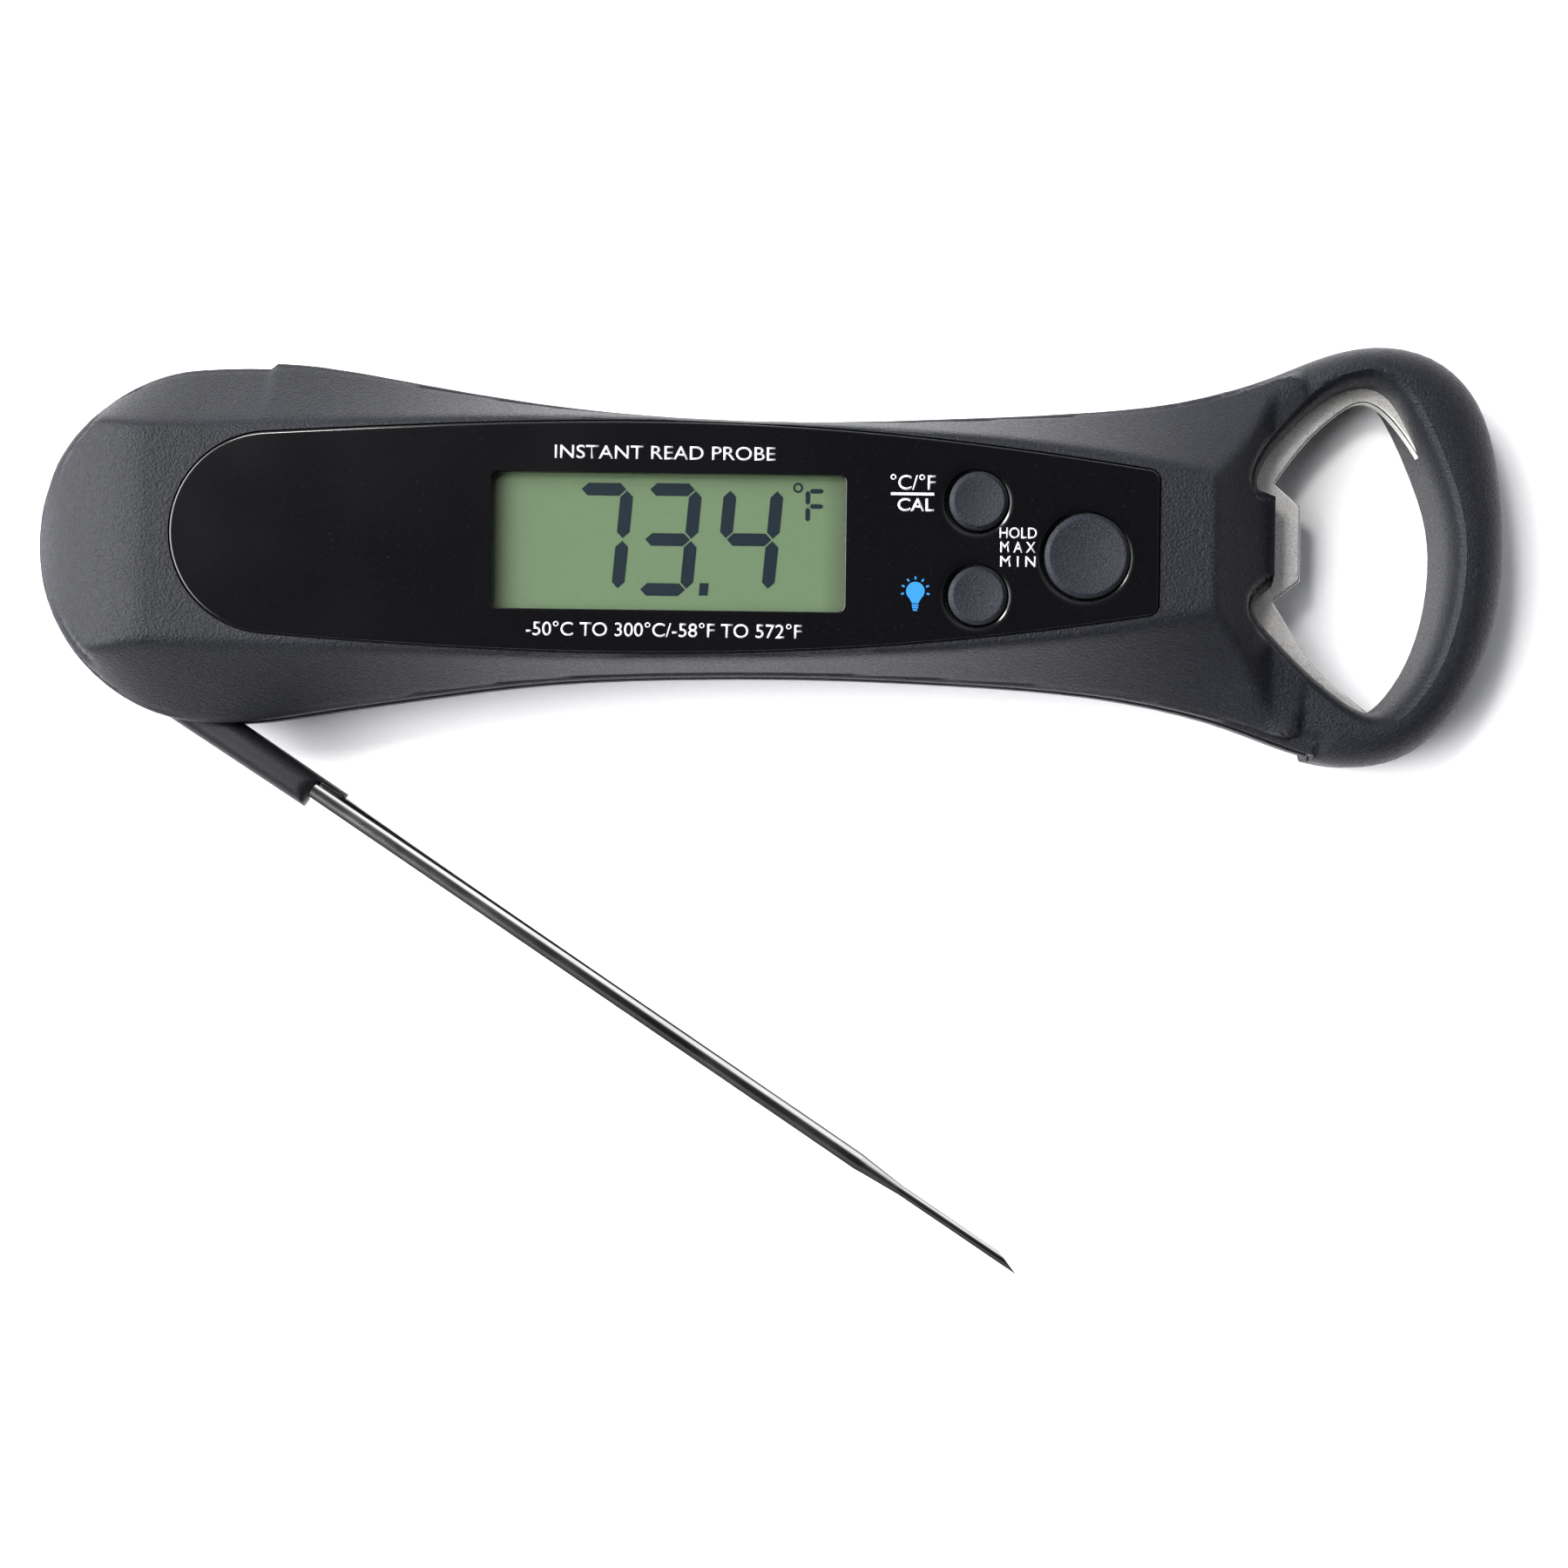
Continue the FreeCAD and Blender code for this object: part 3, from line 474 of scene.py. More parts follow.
BESIDE_TOOTH = (RIM[:, 1] > RIM_STRAIGHT_Y[1]) | (RIM[:, 1] < RIM_STRAIGHT_Y[0])
RIM_CURVED = RIM[(RIM[:, 0] > RIM_STRAIGHT_X + 0.02) | BESIDE_TOOTH]
START = int(np.argmax(np.hypot(*(RIM_CURVED - np.roll(RIM_CURVED, 1, axis=0)).T)))
RIM_CURVED = np.roll(RIM_CURVED, -START, axis=0)


def front_height(x, y):
    """Height of the front cover's skin over the plane."""
    points = np.column_stack([x, y])
    edge = distances(points, closed(OUTLINE_ALL))
    rim = distances(points, RIM_CURVED)
    top = np.interp(x, TOP_X, TOP_Z)
    face = top
    for side in (1, -1):
        foot = np.abs(np.interp(x, EDGE_X, EDGE_Y[side]))
        crease = np.abs(np.interp(x, *CREASE[side]))
        slope = (FRONT_TOP - FOOT_Z) / np.maximum(foot - crease, 1.2)
        bevel = FOOT_Z + (foot - side * y) * slope
        face = smooth_min(face, bevel, 0.42 * (1.0 + slope))
    dome = quarter_round(edge, PARTING + 0.4, 3.6, 1.8) + 5.0 * np.maximum(edge - 1.5, 0.0)
    face = smooth_min(face, dome + np.maximum(x + 4.0, 0.0) * 3.0, 1.0)
    loop = np.clip((x - 121.0) / 12.0, 0.0, 1.0)
    loop = loop * loop * (3 - 2 * loop)
    face = np.where(loop > 0, smooth_max(face, LOOP_CROWN - 4.0 * (1 - loop), 1.2), face)
    ring = np.clip((x - 126.5) / 8.0, 0.0, 1.0)
    ring = ring * ring * (3 - 2 * ring)
    face = face * (1 - ring) + LOOP_CROWN * ring
    thin_edge = quarter_round(edge, PARTING + 0.35, 0.9, 0.55) + np.maximum(edge - 0.5, 0.0) * 40.0
    reach = np.clip(rim + edge - MOUTH_RUN, 2.5, 7.5)
    round_edge = quarter_round(edge, 7.9, 4.5, reach) + np.maximum(edge - reach, 0.0) * 0.25
    face = smooth_min(face, thin_edge * (1 - loop) + round_edge * loop, 0.35)
    mouth = quarter_round(rim, 7.75, 4.35, MOUTH_RUN) + np.maximum(rim - 1.3, 0.0) * 6.0
    return np.maximum(smooth_min(face, mouth, 0.4), under_height(x, y) + THINNEST)


def under_height(x, y):
    """Underside of the front cover: the parting plane, stepped down in the loop."""
    in_slot = (x < SLOT_END[0][-1]) & (y < np.interp(x, *SLOT_END))
    return np.where((x < STEP_X) | in_slot, PARTING, LOOP_PARTING)


def across(low, high, crease_low, crease_high):
    """Y of one mesh row's points: dense over the bevels and round both creases."""
    bevel = np.array([0, .01, .03, .06, .10, .15, .22, .30, .40, .50, .60, .70, .79, .87, .93, .97, 1.0])
    low_part = low + (crease_low - low) * bevel
    high_part = high + (crease_high - high) * bevel[::-1]
    middle = crease_high - crease_low
    inner = np.array([.012, .03, .055, .09, .15, .25, .38, .5, .62, .75, .85, .91, .945, .97, .988])
    return np.concatenate([low_part, crease_low + middle * inner, high_part])


def handle_rows():
    rows = []
    for x, low, high in zip(STATIONS, LOWER_Y, UPPER_Y):
        centre = (low + high) / 2
        creases = []
        for side, outer in ((-1, low), (1, high)):
            crease = float(np.interp(x, *CREASE[side]))
            room = abs(outer - centre)
            share = min(1.0, room / (abs(crease - centre) + 2.0))
            creases.append(centre + (crease - centre) * share)
        ys = across(low, high, *creases)
        rows.append(np.column_stack([np.full(len(ys), x), ys]))
    return np.array(rows)


def area_of(loop):
    x, y = loop[:, 0], loop[:, 1]
    return 0.5 * float((x * np.roll(y, -1) - np.roll(x, -1) * y).sum())


def oriented(loop, clockwise):
    return loop[::-1] if (area_of(loop) < 0) != clockwise else loop


def closed(loop):
    return np.vstack([loop, loop[:1]])


def subdivided(loop, step):
    """The same loop with points added on its long edges."""
    made = []
    for start, end in zip(loop, np.roll(loop, -1, axis=0)):
        count = max(1, int(math.ceil(np.hypot(*(end - start)) / step)))
        made += [start + (end - start) * i / count for i in range(count)]
    return np.array(made)


def ring_points(loop, steps):
    """Points at set distances from a loop, on its right-hand side."""
    ahead = np.roll(loop, -1, axis=0) - np.roll(loop, 1, axis=0)
    normal = np.column_stack([ahead[:, 1], -ahead[:, 0]])
    normal /= np.maximum(np.hypot(*normal.T), 1e-9)[:, None]
    made = []
    for step in steps:
        moved = loop + step * normal
        made.append(moved[distances(moved, closed(loop)) > step * 0.93])
    return np.vstack(made)


def sheet(outline, holes, rings, spacing, keep_clear=0.035):
    """Triangles filling an outline round its holes, fine near the given rings of points."""
    low, high = outline.min(0), outline.max(0)
    xs, ys = np.meshgrid(np.arange(low[0], high[0], spacing), np.arange(low[1], high[1], spacing))
    shift = (np.arange(xs.shape[0]) % 2)[:, None] * spacing / 2
    grid = np.column_stack([(xs + shift).ravel(), ys.ravel()])
    loose = rings
    if len(rings):
        cells = {(math.floor(px / spacing), math.floor(py / spacing)) for px, py in rings}
        free = [(math.floor(px / spacing), math.floor(py / spacing)) not in cells for px, py in grid]
        grid = grid[np.array(free)]
        loose = np.vstack([rings, grid])
    else:
        loose = grid
    wanted = inside(loose, outline) & (distances(loose, closed(outline)) > keep_clear)
    for hole in holes:
        wanted &= ~inside(loose, hole) & (distances(loose, closed(hole)) > keep_clear)
    points, edges = [], []
    for loop in [outline] + list(holes):
        first, count = len(points), len(loop)
        points += [Vector(p) for p in loop]
        edges += [(first + i, first + (i + 1) % count) for i in range(count)]
    points += [Vector(p) for p in loose[wanted]]
    made = delaunay_2d_cdt(points, edges, [], 1, 1e-5)
    flat = np.array([tuple(v) for v in made[0]])
    triangles = np.array(made[2])
    middle = flat[triangles].mean(1)
    solid = inside(middle, outline)
    for hole in holes:
        solid &= ~inside(middle, hole)
    return flat, triangles[solid], made[3]


def solid_between(name, flat, faces, top, bottom):
    """Closed mesh between two heights over a flat mesh."""
    count = len(flat)
    points = np.vstack([np.column_stack([flat, top]), np.column_stack([flat, bottom])]) * MM
    upper = []
    for face in faces:
        loop = flat[list(face)]
        upper.append(tuple(face) if area_of(loop) > 0 else tuple(face)[::-1])
    walked = {(f[i], f[(i + 1) % len(f)]) for f in upper for i in range(len(f))}
    sides = [(b, a, a + count, b + count) for a, b in sorted(walked) if (b, a) not in walked]
    lower = [tuple(i + count for i in face[::-1]) for face in upper]
    return mesh_from(name, points, upper + sides + lower)


def loop_sheet(seam):
    """Flat mesh of the neck and the loop, matching the last row of the handle."""
    border = np.vstack([seam, OUTLINE_LOOP[1:-1]])
    rings = np.vstack([
        ring_points(OUTLINE_ALL, [.05, .12, .22, .34, .5, .7, .95, 1.25, 1.6, 2.0, 2.45, 2.95, 3.5]),
        ring_points(RIM, [.05, .12, .22, .36, .52, .72, .95, 1.2, 1.5, 1.85, 2.2, 2.6, 3.05, 3.55]),
    ])
    rings = rings[rings[:, 0] > SEAM_X + 0.3]
    rings = rings[(distances(rings, closed(OUTLINE_ALL)) > 0.04) & (distances(rings, closed(RIM)) > 0.04)]
    return sheet(border, [RIM], rings, 0.55)


def front_skin_mesh():
    rows = handle_rows()
    count, width = rows.shape[:2]
    handle = rows.reshape(-1, 2)
    faces = []
    for i in range(count - 1):
        for j in range(width - 1):
            a = i * width + j
            faces.append((a, a + width, a + width + 1, a + 1))
    flat, triangles, origin = loop_sheet(rows[-1])
    place = {}
    extra = []
    for index, sources in enumerate(origin):
        on_seam = [k for k in sources if k < width]
        if on_seam:
            place[index] = (count - 1) * width + on_seam[0]
        else:
            place[index] = len(handle) + len(extra)
            extra.append(flat[index])
    faces += [tuple(place[k] for k in t) for t in triangles]
    points = np.vstack([handle, np.array(extra)])
    height = front_height(points[:, 0], points[:, 1])
    return solid_between("front_cover_skin", points, faces, height, under_height(*points.T))


def prism_cutter(name, loop, z0, z1):
    loop = oriented(loop, False)
    count = len(loop)
    points = [(*p, z0) for p in loop] + [(*p, z1) for p in loop]
    faces = [tuple(range(count))[::-1], tuple(range(count, 2 * count))]
    faces += [(i, (i + 1) % count, count + (i + 1) % count, count + i) for i in range(count)]
    return mesh_from(name, np.array(points) * MM, faces)


def rectangle(x0, x1, y0, y1):
    return np.array([(x0, y0), (x1, y0), (x1, y1), (x0, y1)])


def circle(x, y, radius, count=72):
    turn = np.linspace(0, 2 * math.pi, count, endpoint=False)
    return np.column_stack([x + radius * np.cos(turn), y + radius * np.sin(turn)])


def faceplate_outline(gap):
    """Outline of the faceplate, measured on the CAD model and grown by a gap."""
    plate = tree_of("faceplate")
    low, high = mm_box("faceplate")
    z = (low[2] + high[2]) / 2
    turn = np.linspace(0.0, math.pi, 150)
    xs = (low[0] + high[0]) / 2 - (high[0] - low[0] - 0.03) / 2 * np.cos(turn)
    upper = [(x, cast(plate, (x, FAR, z), (0, -1, 0))[1]) for x in xs]
    lower = [(x, cast(plate, (x, -FAR, z), (0, 1, 0))[1]) for x in xs[::-1]]
    loop = np.array(lower + upper)
    ahead = np.roll(loop, -1, axis=0) - np.roll(loop, 1, axis=0)
    normal = np.column_stack([-ahead[:, 1], ahead[:, 0]])
    normal /= np.maximum(np.hypot(*normal.T), 1e-9)[:, None]
    return loop + gap * normal


def key_centre(name):
    low, high = mm_box(name)
    return (low[0] + high[0]) / 2, (low[1] + high[1]) / 2, (high[0] - low[0]) / 2


KEY_FLANGE = 0.6          # how far a key's hidden rim stands out from its cap
KEY_GAP = 0.15


def cut_away(piece, cutters):
    """Cut each prism out of a piece and bake the result into its mesh."""
    tools = []
    for loop, z0, z1 in cutters:
        tool = bpy.data.objects.new("cutter", prism_cutter("cutter", loop, z0, z1))
        bpy.context.scene.collection.objects.link(tool)
        tools.append(tool)
        modifier = piece.modifiers.new("cut", "BOOLEAN")
        modifier.operation = "DIFFERENCE"
        modifier.solver = "EXACT"
        modifier.object = tool
    finished(piece)
    for tool in tools:
        bpy.data.objects.remove(tool)


def make_front_skin():
    """The front cover as one soft-edged skin with its recess, window and key holes."""
    mesh = front_skin_mesh()
    piece = bpy.data.objects.new("front_cover_skin", mesh)
    bpy.context.scene.collection.objects.link(piece)
    cell_low, cell_high = mm_box("lcd_cell")
    board_low, board_high = mm_box("main_board")
    cell = rectangle(cell_low[0] - 0.2, cell_high[0] + 0.2, cell_low[1] - 0.2, cell_high[1] + 0.2)
    board = rectangle(board_low[0] - 0.3, board_high[0] + 0.3, board_low[1] - 0.3, board_high[1] + 0.3)
    cuts = [(faceplate_outline(0.22), 18.5, 30.0), (cell, 15.0, 19.0), (board, 9.0, 16.6)]
    for name in ("unit_key", "light_key", "hold_key"):
        x, y, flange = key_centre(name)
        cuts.append((circle(x, y, flange - KEY_FLANGE + KEY_GAP), 15.0, 19.0))
    cut_away(piece, cuts)
    smooth(piece.data, 38)
    piece.data.materials.clear()
    piece.data.materials.append(COVER)
    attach(piece, "housing")
    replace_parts(piece, "front_cover")


# ---- plates with rounded edges ---------------------------------------------------------------
def top_loops(node):
    """Outlines of a flat node's top face, the outer one first."""
    mesh = CAD[node].data
    spots = np.array([v.co[:] for v in mesh.vertices]) / MM
    top = spots[:, 2].max()
    keys = [tuple(np.round(p[:2], 4)) for p in spots]
    walked = set()
    for face in mesh.polygons:
        corner = list(face.vertices)
        if face.normal.z > 0.9 and spots[corner, 2].min() > top - 0.003:
            walked |= {(keys[a], keys[b]) for a, b in zip(corner, corner[1:] + corner[:1])}
    after = {a: b for a, b in walked if (b, a) not in walked}
    loops = []
    while after:
        start, here = after.popitem()
        loop = [start]
        while here != start:
            loop.append(here)
            here = after.pop(here)
        loops.append(np.array(loop))
    return sorted(loops, key=lambda loop: -abs(area_of(loop)))


EDGE_STEPS = [.02, .045, .08, .12, .17, .24, .34, .5, .75]


def rounded_plate(node, step, spacing, height, edge_material=None):
    """A flat node with softly rounded upper edges, standing for that node."""
    loops = top_loops(node)
    outline = subdivided(oriented(loops[0], True), step)
    holes = [subdivided(oriented(loop, False), step) for loop in loops[1:]]
    rings = np.vstack([ring_points(loop, EDGE_STEPS) for loop in [outline] + holes])
    for loop in [outline] + holes:
        rings = rings[distances(rings, closed(loop)) > 0.018]
    flat, triangles, _ = sheet(outline, holes, rings, spacing, keep_clear=0.015)
    low, high = mm_box(node)
    top = height(flat, outline, holes, high[2])
    mesh = solid_between(node + "_plate", flat, triangles, top, np.full(len(flat), low[2]))
    mesh.materials.append(MATERIAL_OF[node])
    if edge_material:
        mesh.materials.append(edge_material)
        for face in mesh.polygons:
            face.material_index = 1 if face.normal.z < 0.93 else 0
    smooth(mesh, 40)
    piece = link(node + "_plate", mesh, "housing")
    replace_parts(piece, node)


ARM_STEPS = [.03, .08, .15, .25, .38, .55, .75, 1.0, 1.3, 1.65, 2.0]
ARM_ROUND = 1.7
AXLE_HOLE_RADIUS = 3.05
AXLE_HOLE = math.pi * AXLE_HOLE_RADIUS ** 2


def make_arm():
    """Hub and arm with well-rounded edges above and below, standing for the CAD arm."""
    loops = top_loops("probe_arm")
    outline = subdivided(oriented(loops[0], True), 0.4)
    bore = min(loops[1:], key=lambda loop: abs(abs(area_of(loop)) - AXLE_HOLE))
    bore = subdivided(oriented(bore, False), 0.4)
    rings = ring_points(outline, ARM_STEPS)
    rings = rings[distances(rings, closed(outline)) > 0.025]
    flat, triangles, _ = sheet(outline, [bore], rings, 0.9)
    low, high = mm_box("probe_arm")
    edge = distances(flat, closed(outline))
    top = quarter_round(edge, high[2] - ARM_ROUND, ARM_ROUND, ARM_ROUND)
    bottom = low[2] + high[2] - top
    mesh = solid_between("probe_arm_soft", flat, triangles, top, bottom)
    mesh.materials.append(ARM)
    smooth(mesh, 45)
    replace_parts(link("probe_arm_soft", mesh, "probe"), "probe_arm")


DISH_WIDTH = 0.95
DISH_DEPTH = 0.15


def faceplate_height(flat, outline, holes, top):
    """Flat face with a soft edge and a shallow dish round each key hole."""
    edge = distances(flat, closed(outline))
    height = quarter_round(edge, top - 0.16, 0.16, 0.20)
    for hole in holes:
        gap = distances(flat, closed(hole))
        if abs(area_of(hole)) < 120.0:
            dish = DISH_DEPTH * np.clip(1 - gap / DISH_WIDTH, 0, 1) ** 2
            height = height - dish
            height = np.minimum(height, quarter_round(gap, top - DISH_DEPTH - 0.10, 0.30, 0.12))
        else:
            height = np.minimum(height, quarter_round(gap, top - 0.08, 0.08, 0.10))
    return height


def opener_height(flat, outline, holes, top):
    """Stamped plate: the edge rolls over a little."""
    edge = distances(flat, closed(outline))
    for hole in holes:
        edge = np.minimum(edge, distances(flat, closed(hole)))
    return quarter_round(edge, top - 0.28, 0.28, 0.30)


# ---- legends and display ----------------------------------------------------------------------
def legend(name, words, x, y, height, material, width=None, spacing=1.0, heavy=0.0):
    """A line of raised lettering centred at x, y, with a given capital height."""
    text = bpy.data.curves.new(name, "FONT")
    text.body = words
    text.size = 1.0
    text.align_x = "CENTER"
    text.align_y = "CENTER"
    text.space_character = spacing
    text.offset = heavy
    maker = bpy.data.objects.new(name, text)
    bpy.context.scene.collection.objects.link(maker)
    bpy.context.view_layer.update()
    mesh = bpy.data.meshes.new_from_object(maker)
    bpy.data.objects.remove(maker)
    spots = np.array([v.co[:] for v in mesh.vertices])
    low, high = spots.min(0), spots.max(0)
    scale_y = height / (high[1] - low[1])
    scale_x = scale_y if width is None else width / (high[0] - low[0])
    middle = (low + high) / 2
    face_z = mm_box("faceplate")[1][2]
    for vertex in mesh.vertices:
        px = x + (vertex.co.x - middle[0]) * scale_x
        py = y + (vertex.co.y - middle[1]) * scale_y
        vertex.co = Vector((px, py, face_z + LEGEND_LIFT)) * MM
    mesh.materials.append(material)
    thicken(mesh, LEGEND_THICK)
    return link(name, mesh, "housing")


LEGEND_LIFT = 0.012
LEGEND_THICK = 0.02


def thicken(mesh, depth):
    """Turn a flat mesh into a thin slab, so that it closes."""
    work = bmesh.new()
    work.from_mesh(mesh)
    bmesh.ops.remove_doubles(work, verts=work.verts, dist=0.0005 * MM)
    made = bmesh.ops.extrude_face_region(work, geom=work.faces[:])
    for item in made["geom"]:
        if isinstance(item, bmesh.types.BMVert):
            item.co.z += depth * MM
    bmesh.ops.recalc_face_normals(work, faces=work.faces)
    work.to_mesh(mesh)
    work.free()


def flat_piece(name, polygons, z, depth, material):
    """One thin piece from several flat outlines."""
    points, faces = [], []
    for loop in polygons:
        start = len(points)
        points += [(px * MM, py * MM, z * MM) for px, py in loop]
        faces.append(tuple(range(start, start + len(loop))))
    mesh = mesh_from(name, points, faces)
    mesh.materials.append(material)
    thicken(mesh, depth)
    return link(name, mesh, "housing")


DIGIT_WIDTH = 5.24        # between the middles of a digit's upright segments
DIGIT_HALF = 5.58         # between the middles of its level segments
SEGMENT = 1.42
SEGMENT_GAP = 0.13
SLANT = math.tan(math.radians(5.0))
SEGMENTS_OF = {"7": "abc", "3": "abcdg", "4": "bcfg"}


def segment_shape(start, end):
    """Hexagon between two corners of a digit, pointed at both ends."""
    start, end = np.array(start), np.array(end)
    along = (end - start) / np.hypot(*(end - start))
    side = np.array((-along[1], along[0])) * SEGMENT / 2
    a, b = start + along * SEGMENT_GAP, end - along * SEGMENT_GAP
    short = along * SEGMENT / 2
    return [a, a + short + side, b - short + side, b, b - short - side, a + short - side]


def digit(figure, x, y):
    w, h = DIGIT_WIDTH / 2, DIGIT_HALF
    corners = {
        "a": ((-w, h), (w, h)), "b": ((w, h), (w, 0)), "c": ((w, 0), (w, -h)),
        "d": ((-w, -h), (w, -h)), "e": ((-w, 0), (-w, -h)), "f": ((-w, h), (-w, 0)),
        "g": ((-w, 0), (w, 0)),
    }
    shapes = []
    for key in SEGMENTS_OF[figure]:
        shape = segment_shape(*corners[key])
        shapes.append([(x + p[0] + p[1] * SLANT, y + p[1]) for p in shape])
    return shapes


def make_display_figures():
    """The reading on the display: three digits, a point and the unit."""
    z = mm_box("lcd_cell")[1][2] + 0.01
    shapes = digit("7", 52.85, 0.5) + digit("3", 60.5, 0.55) + digit("4", 69.6, 0.65)
    shapes.append([(64.05, -5.65), (65.05, -5.65), (65.15, -4.25), (64.15, -4.25)])
    bar = 0.52
    for x0, x1, y in ((76.3, 77.9, 6.15), (76.3, 77.85, 4.45)):
        shapes.append([(x0, y), (x0 + 0.2, y + bar / 2), (x1 - 0.25, y + bar / 2), (x1, y),
                       (x1 - 0.25, y - bar / 2), (x0 + 0.2, y - bar / 2)])
    for y0, y1 in ((4.6, 6.2), (2.75, 4.35)):
        shapes.append([(76.1, y0), (76.1 + bar / 2, y0 + 0.25), (76.1 + bar / 2, y1 - 0.25), (76.1, y1),
                       (76.1 - bar / 2, y1 - 0.25), (76.1 - bar / 2, y0 + 0.25)])
    flat_piece("display_segments", shapes, z, 0.02, SEGMENT_INK)
    ring_strip("display_degree_sign", 75.0, 6.5, 0.33, 0.56, z, SEGMENT_INK)


def ring_strip(name, x, y, inner, outer, z, material):
    count = 40
    inside_ring, outside_ring = circle(x, y, inner, count), circle(x, y, outer, count)
    points = [(*p, z) for p in inside_ring] + [(*p, z) for p in outside_ring]
    faces = [(i, (i + 1) % count, count + (i + 1) % count, count + i) for i in range(count)]
    mesh = mesh_from(name, np.array(points) * MM, faces)
    mesh.materials.append(material)
    thicken(mesh, 0.02)
    return link(name, mesh, "housing")


def make_legends():
    legend("legend_title", "INSTANT READ PROBE", 60.2, 10.05, 1.50, WHITE_INK, width=24.5, heavy=0.004)
    legend("legend_range", "-50°C TO 300°C/-58°F TO 572°F", 60.3, -9.6, 1.62, WHITE_INK,
           width=30.6, heavy=0.004)
    legend("legend_unit", "°C/°F", 87.75, 7.15, 1.72, WHITE_INK, width=5.0, heavy=0.006)
    legend("legend_cal", "CAL", 88.1, 4.63, 1.45, WHITE_INK, width=4.05, heavy=0.015)
    legend("legend_hold", "HOLD", 99.5, 1.65, 1.22, WHITE_INK, width=4.15, heavy=0.010)
    legend("legend_max", "M A X", 99.5, 0.07, 1.20, WHITE_INK, width=3.95, heavy=0.010)
    legend("legend_min", "M I N", 99.5, -1.52, 1.20, WHITE_INK, width=3.95, heavy=0.010)
    z = mm_box("faceplate")[1][2] + LEGEND_LIFT
    flat_piece("legend_line", [rectangle(85.3, 90.1, 5.68, 5.98)], z, LEGEND_THICK, WHITE_INK)


def make_bulb_icon():
    """Light-bulb mark: round bulb, neck, three base bands and seven rays."""
    x, y, radius = 88.15, -4.95, 1.03
    z = mm_box("faceplate")[1][2] + LEGEND_LIFT
    arc = [math.radians(a) for a in range(-52, 233, 8)]
    bulb = [(x + radius * math.cos(a), y + radius * math.sin(a)) for a in arc]
    bulb += [(x - 0.36, y - 1.35), (x + 0.36, y - 1.35)]
    shapes = [bulb]
    for drop, half in ((1.45, 0.36), (1.72, 0.34), (1.99, 0.24)):
        shapes.append(rectangle(x - half, x + half, y - drop - 0.2, y - drop))
    for degrees in (-12, 22, 56, 90, 124, 158, 192):
        a = math.radians(degrees)
        along, side = np.array((math.cos(a), math.sin(a))), np.array((-math.sin(a), math.cos(a))) * 0.10
        start, end = np.array((x, y)) + along * 1.28, np.array((x, y)) + along * 1.62
        shapes.append([start - side, end - side, end + side, start + side])
    flat_piece("legend_bulb", shapes, z, LEGEND_THICK, BLUE_INK)


# ---- studio -------------------------------------------------------------------------------------
CAMERA_ABOVE = 300.0      # from the handle's widest plane to the camera
FIELD = 180.0             # width seen at that plane
PLANE_Z = 10.0
CAMERA_X, CAMERA_Y = 73.85, -26.55
CAMERA_TURN = 0.74


def make_camera():
    data = bpy.data.cameras.new("camera")
    data.sensor_width = 36.0
    data.lens = 36.0 * CAMERA_ABOVE / FIELD
    data.clip_start = 0.01
    camera = bpy.data.objects.new("camera", data)
    bpy.context.scene.collection.objects.link(camera)
    camera.location = Vector((CAMERA_X, CAMERA_Y, PLANE_Z + CAMERA_ABOVE)) * MM
    camera.rotation_euler = (0.0, 0.0, math.radians(CAMERA_TURN))
    bpy.context.scene.camera = camera


def area_light(name, place, target, size, power, colour=(1, 1, 1)):
    data = bpy.data.lights.new(name, "AREA")
    data.shape = "DISK"
    data.size = size
    data.energy = power
    data.color = colour
    lamp = bpy.data.objects.new(name, data)
    bpy.context.scene.collection.objects.link(lamp)
    lamp.location = Vector(place)
    lamp.rotation_euler = (Vector(target) - Vector(place)).to_track_quat("-Z", "Y").to_euler()


def make_floor():
    size = 3.0
    corners = [(-size, -size, 0), (size, -size, 0), (size, size, 0), (-size, size, 0)]
    mesh = bpy.data.meshes.new("floor")
    mesh.from_pydata(corners, [], [(0, 1, 2, 3)])
    shader = Shader("pale_floor", (0.93, 0.93, 0.945), 0.85)
    fibre = shader.noise(0.8, detail=4.0)
    shader.join(shader.ramp(fibre, [(0.3, (0.915, 0.915, 0.93)), (0.7, (0.945, 0.945, 0.96))]), "Base Color")
    mesh.materials.append(shader.material)
    floor = bpy.data.objects.new("floor", mesh)
    bpy.context.scene.collection.objects.link(floor)


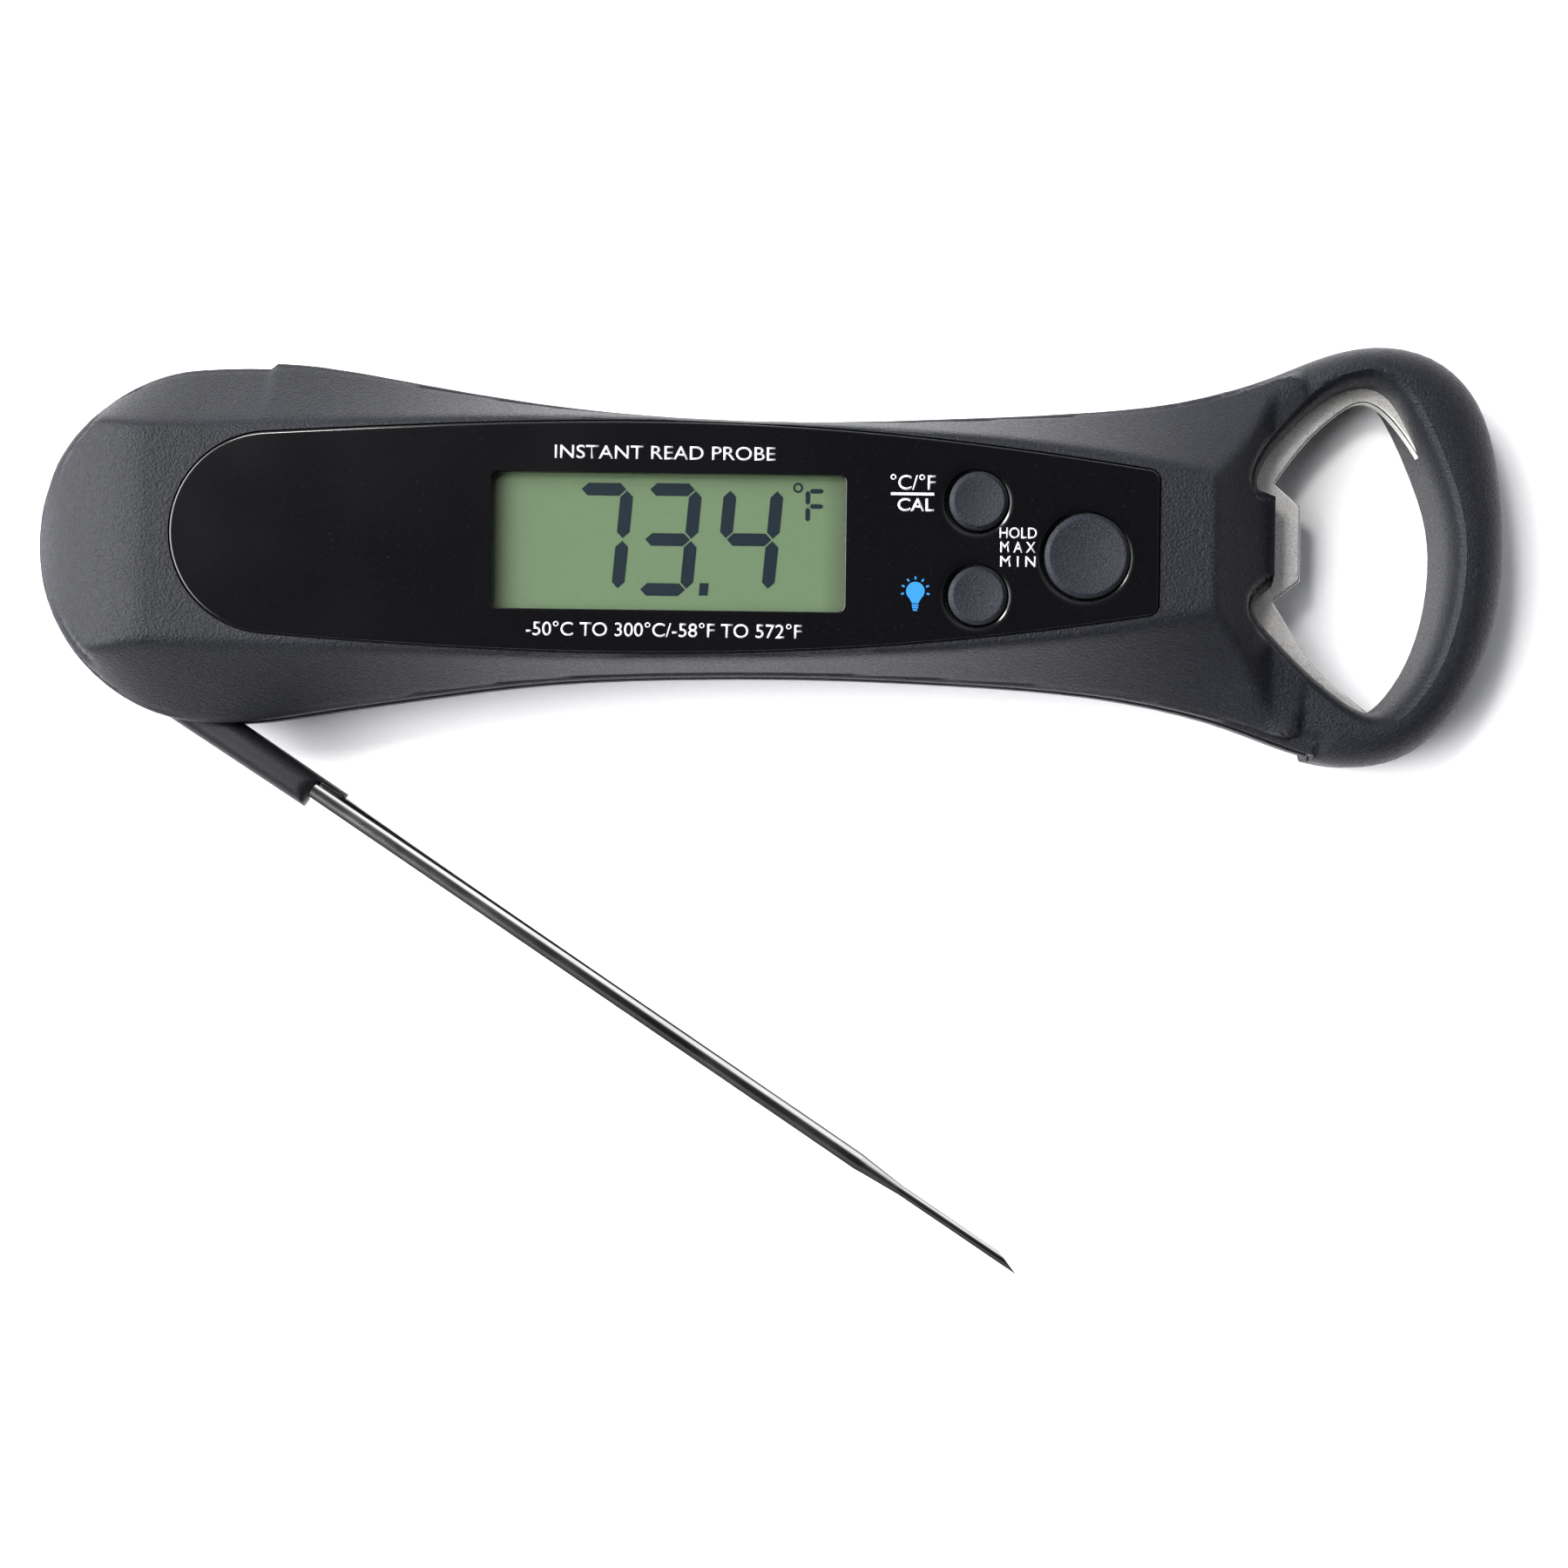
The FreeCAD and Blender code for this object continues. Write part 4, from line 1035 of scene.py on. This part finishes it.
def make_world():
    """Studio seen from the table: dark overhead, pale walls, brightest at +Y, a soft panel at -X."""
    world = bpy.data.worlds.new("studio")
    bpy.context.scene.world = world
    world.use_nodes = True
    tree = world.node_tree
    where = tree.nodes.new("ShaderNodeTexCoord")
    split = tree.nodes.new("ShaderNodeSeparateXYZ")
    tree.links.new(where.outputs["Generated"], split.inputs["Vector"])
    height = tree.nodes.new("ShaderNodeValToRGB")
    stops = [(0.0, 0.30), (0.20, 0.55), (0.42, 1.15), (0.76, 1.15), (0.88, 0.14), (0.97, 0.03)]
    while len(height.color_ramp.elements) < len(stops):
        height.color_ramp.elements.new(0.5)
    for element, (place, value) in zip(height.color_ramp.elements, stops):
        element.position = place
        element.color = (value, value * 1.01, value * 1.07, 1.0)
    tree.links.new(split.outputs["Z"], height.inputs["Fac"])
    facing = tree.nodes.new("ShaderNodeVectorMath")
    facing.operation = "DOT_PRODUCT"
    facing.inputs[1].default_value = (-0.35, 0.94, 0.0)
    tree.links.new(where.outputs["Generated"], facing.inputs[0])
    side = tree.nodes.new("ShaderNodeMapRange")
    side.interpolation_type = "SMOOTHSTEP"
    for socket, value in (("From Min", -0.55), ("From Max", 0.8), ("To Min", 0.07), ("To Max", 1.25)):
        side.inputs[socket].default_value = value
    tree.links.new(facing.outputs["Value"], side.inputs["Value"])
    joined = tree.nodes.new("ShaderNodeVectorMath")
    joined.operation = "SCALE"
    tree.links.new(height.outputs["Color"], joined.inputs[0])
    tree.links.new(side.outputs["Result"], joined.inputs["Scale"])
    panel = tree.nodes.new("ShaderNodeVectorMath")
    panel.operation = "DOT_PRODUCT"
    panel.inputs[1].default_value = (-0.80, 0.12, 0.59)
    tree.links.new(where.outputs["Generated"], panel.inputs[0])
    glow = tree.nodes.new("ShaderNodeMapRange")
    glow.interpolation_type = "SMOOTHSTEP"
    for socket, value in (("From Min", 0.78), ("From Max", 0.95), ("To Min", 0.0), ("To Max", 13.0)):
        glow.inputs[socket].default_value = value
    tree.links.new(panel.outputs["Value"], glow.inputs["Value"])
    whole = tree.nodes.new("ShaderNodeVectorMath")
    tree.links.new(joined.outputs["Vector"], whole.inputs[0])
    tree.links.new(glow.outputs["Result"], whole.inputs[1])
    tree.links.new(whole.outputs["Vector"], tree.nodes["Background"].inputs["Color"])
    tree.nodes["Background"].inputs["Strength"].default_value = 1.0


def make_studio():
    middle = (0.075, -0.02, 0.01)
    make_camera()
    make_floor()
    make_world()
    area_light("key_light", (-0.12, 0.22, 0.60), middle, 0.10, 1.4, (1.0, 0.99, 0.96))
    bpy.context.scene.view_settings.view_transform = "Standard"


# ---- put together ----------------------------------------------------------------------------------
make_studio()
finish_cad_nodes()
make_front_skin()
rounded_plate("faceplate", 0.35, 0.9, faceplate_height)
rounded_plate("opener_plate", 0.3, 0.8, opener_height, POLISHED)
make_arm()
make_display_figures()
make_legends()
make_bulb_icon()
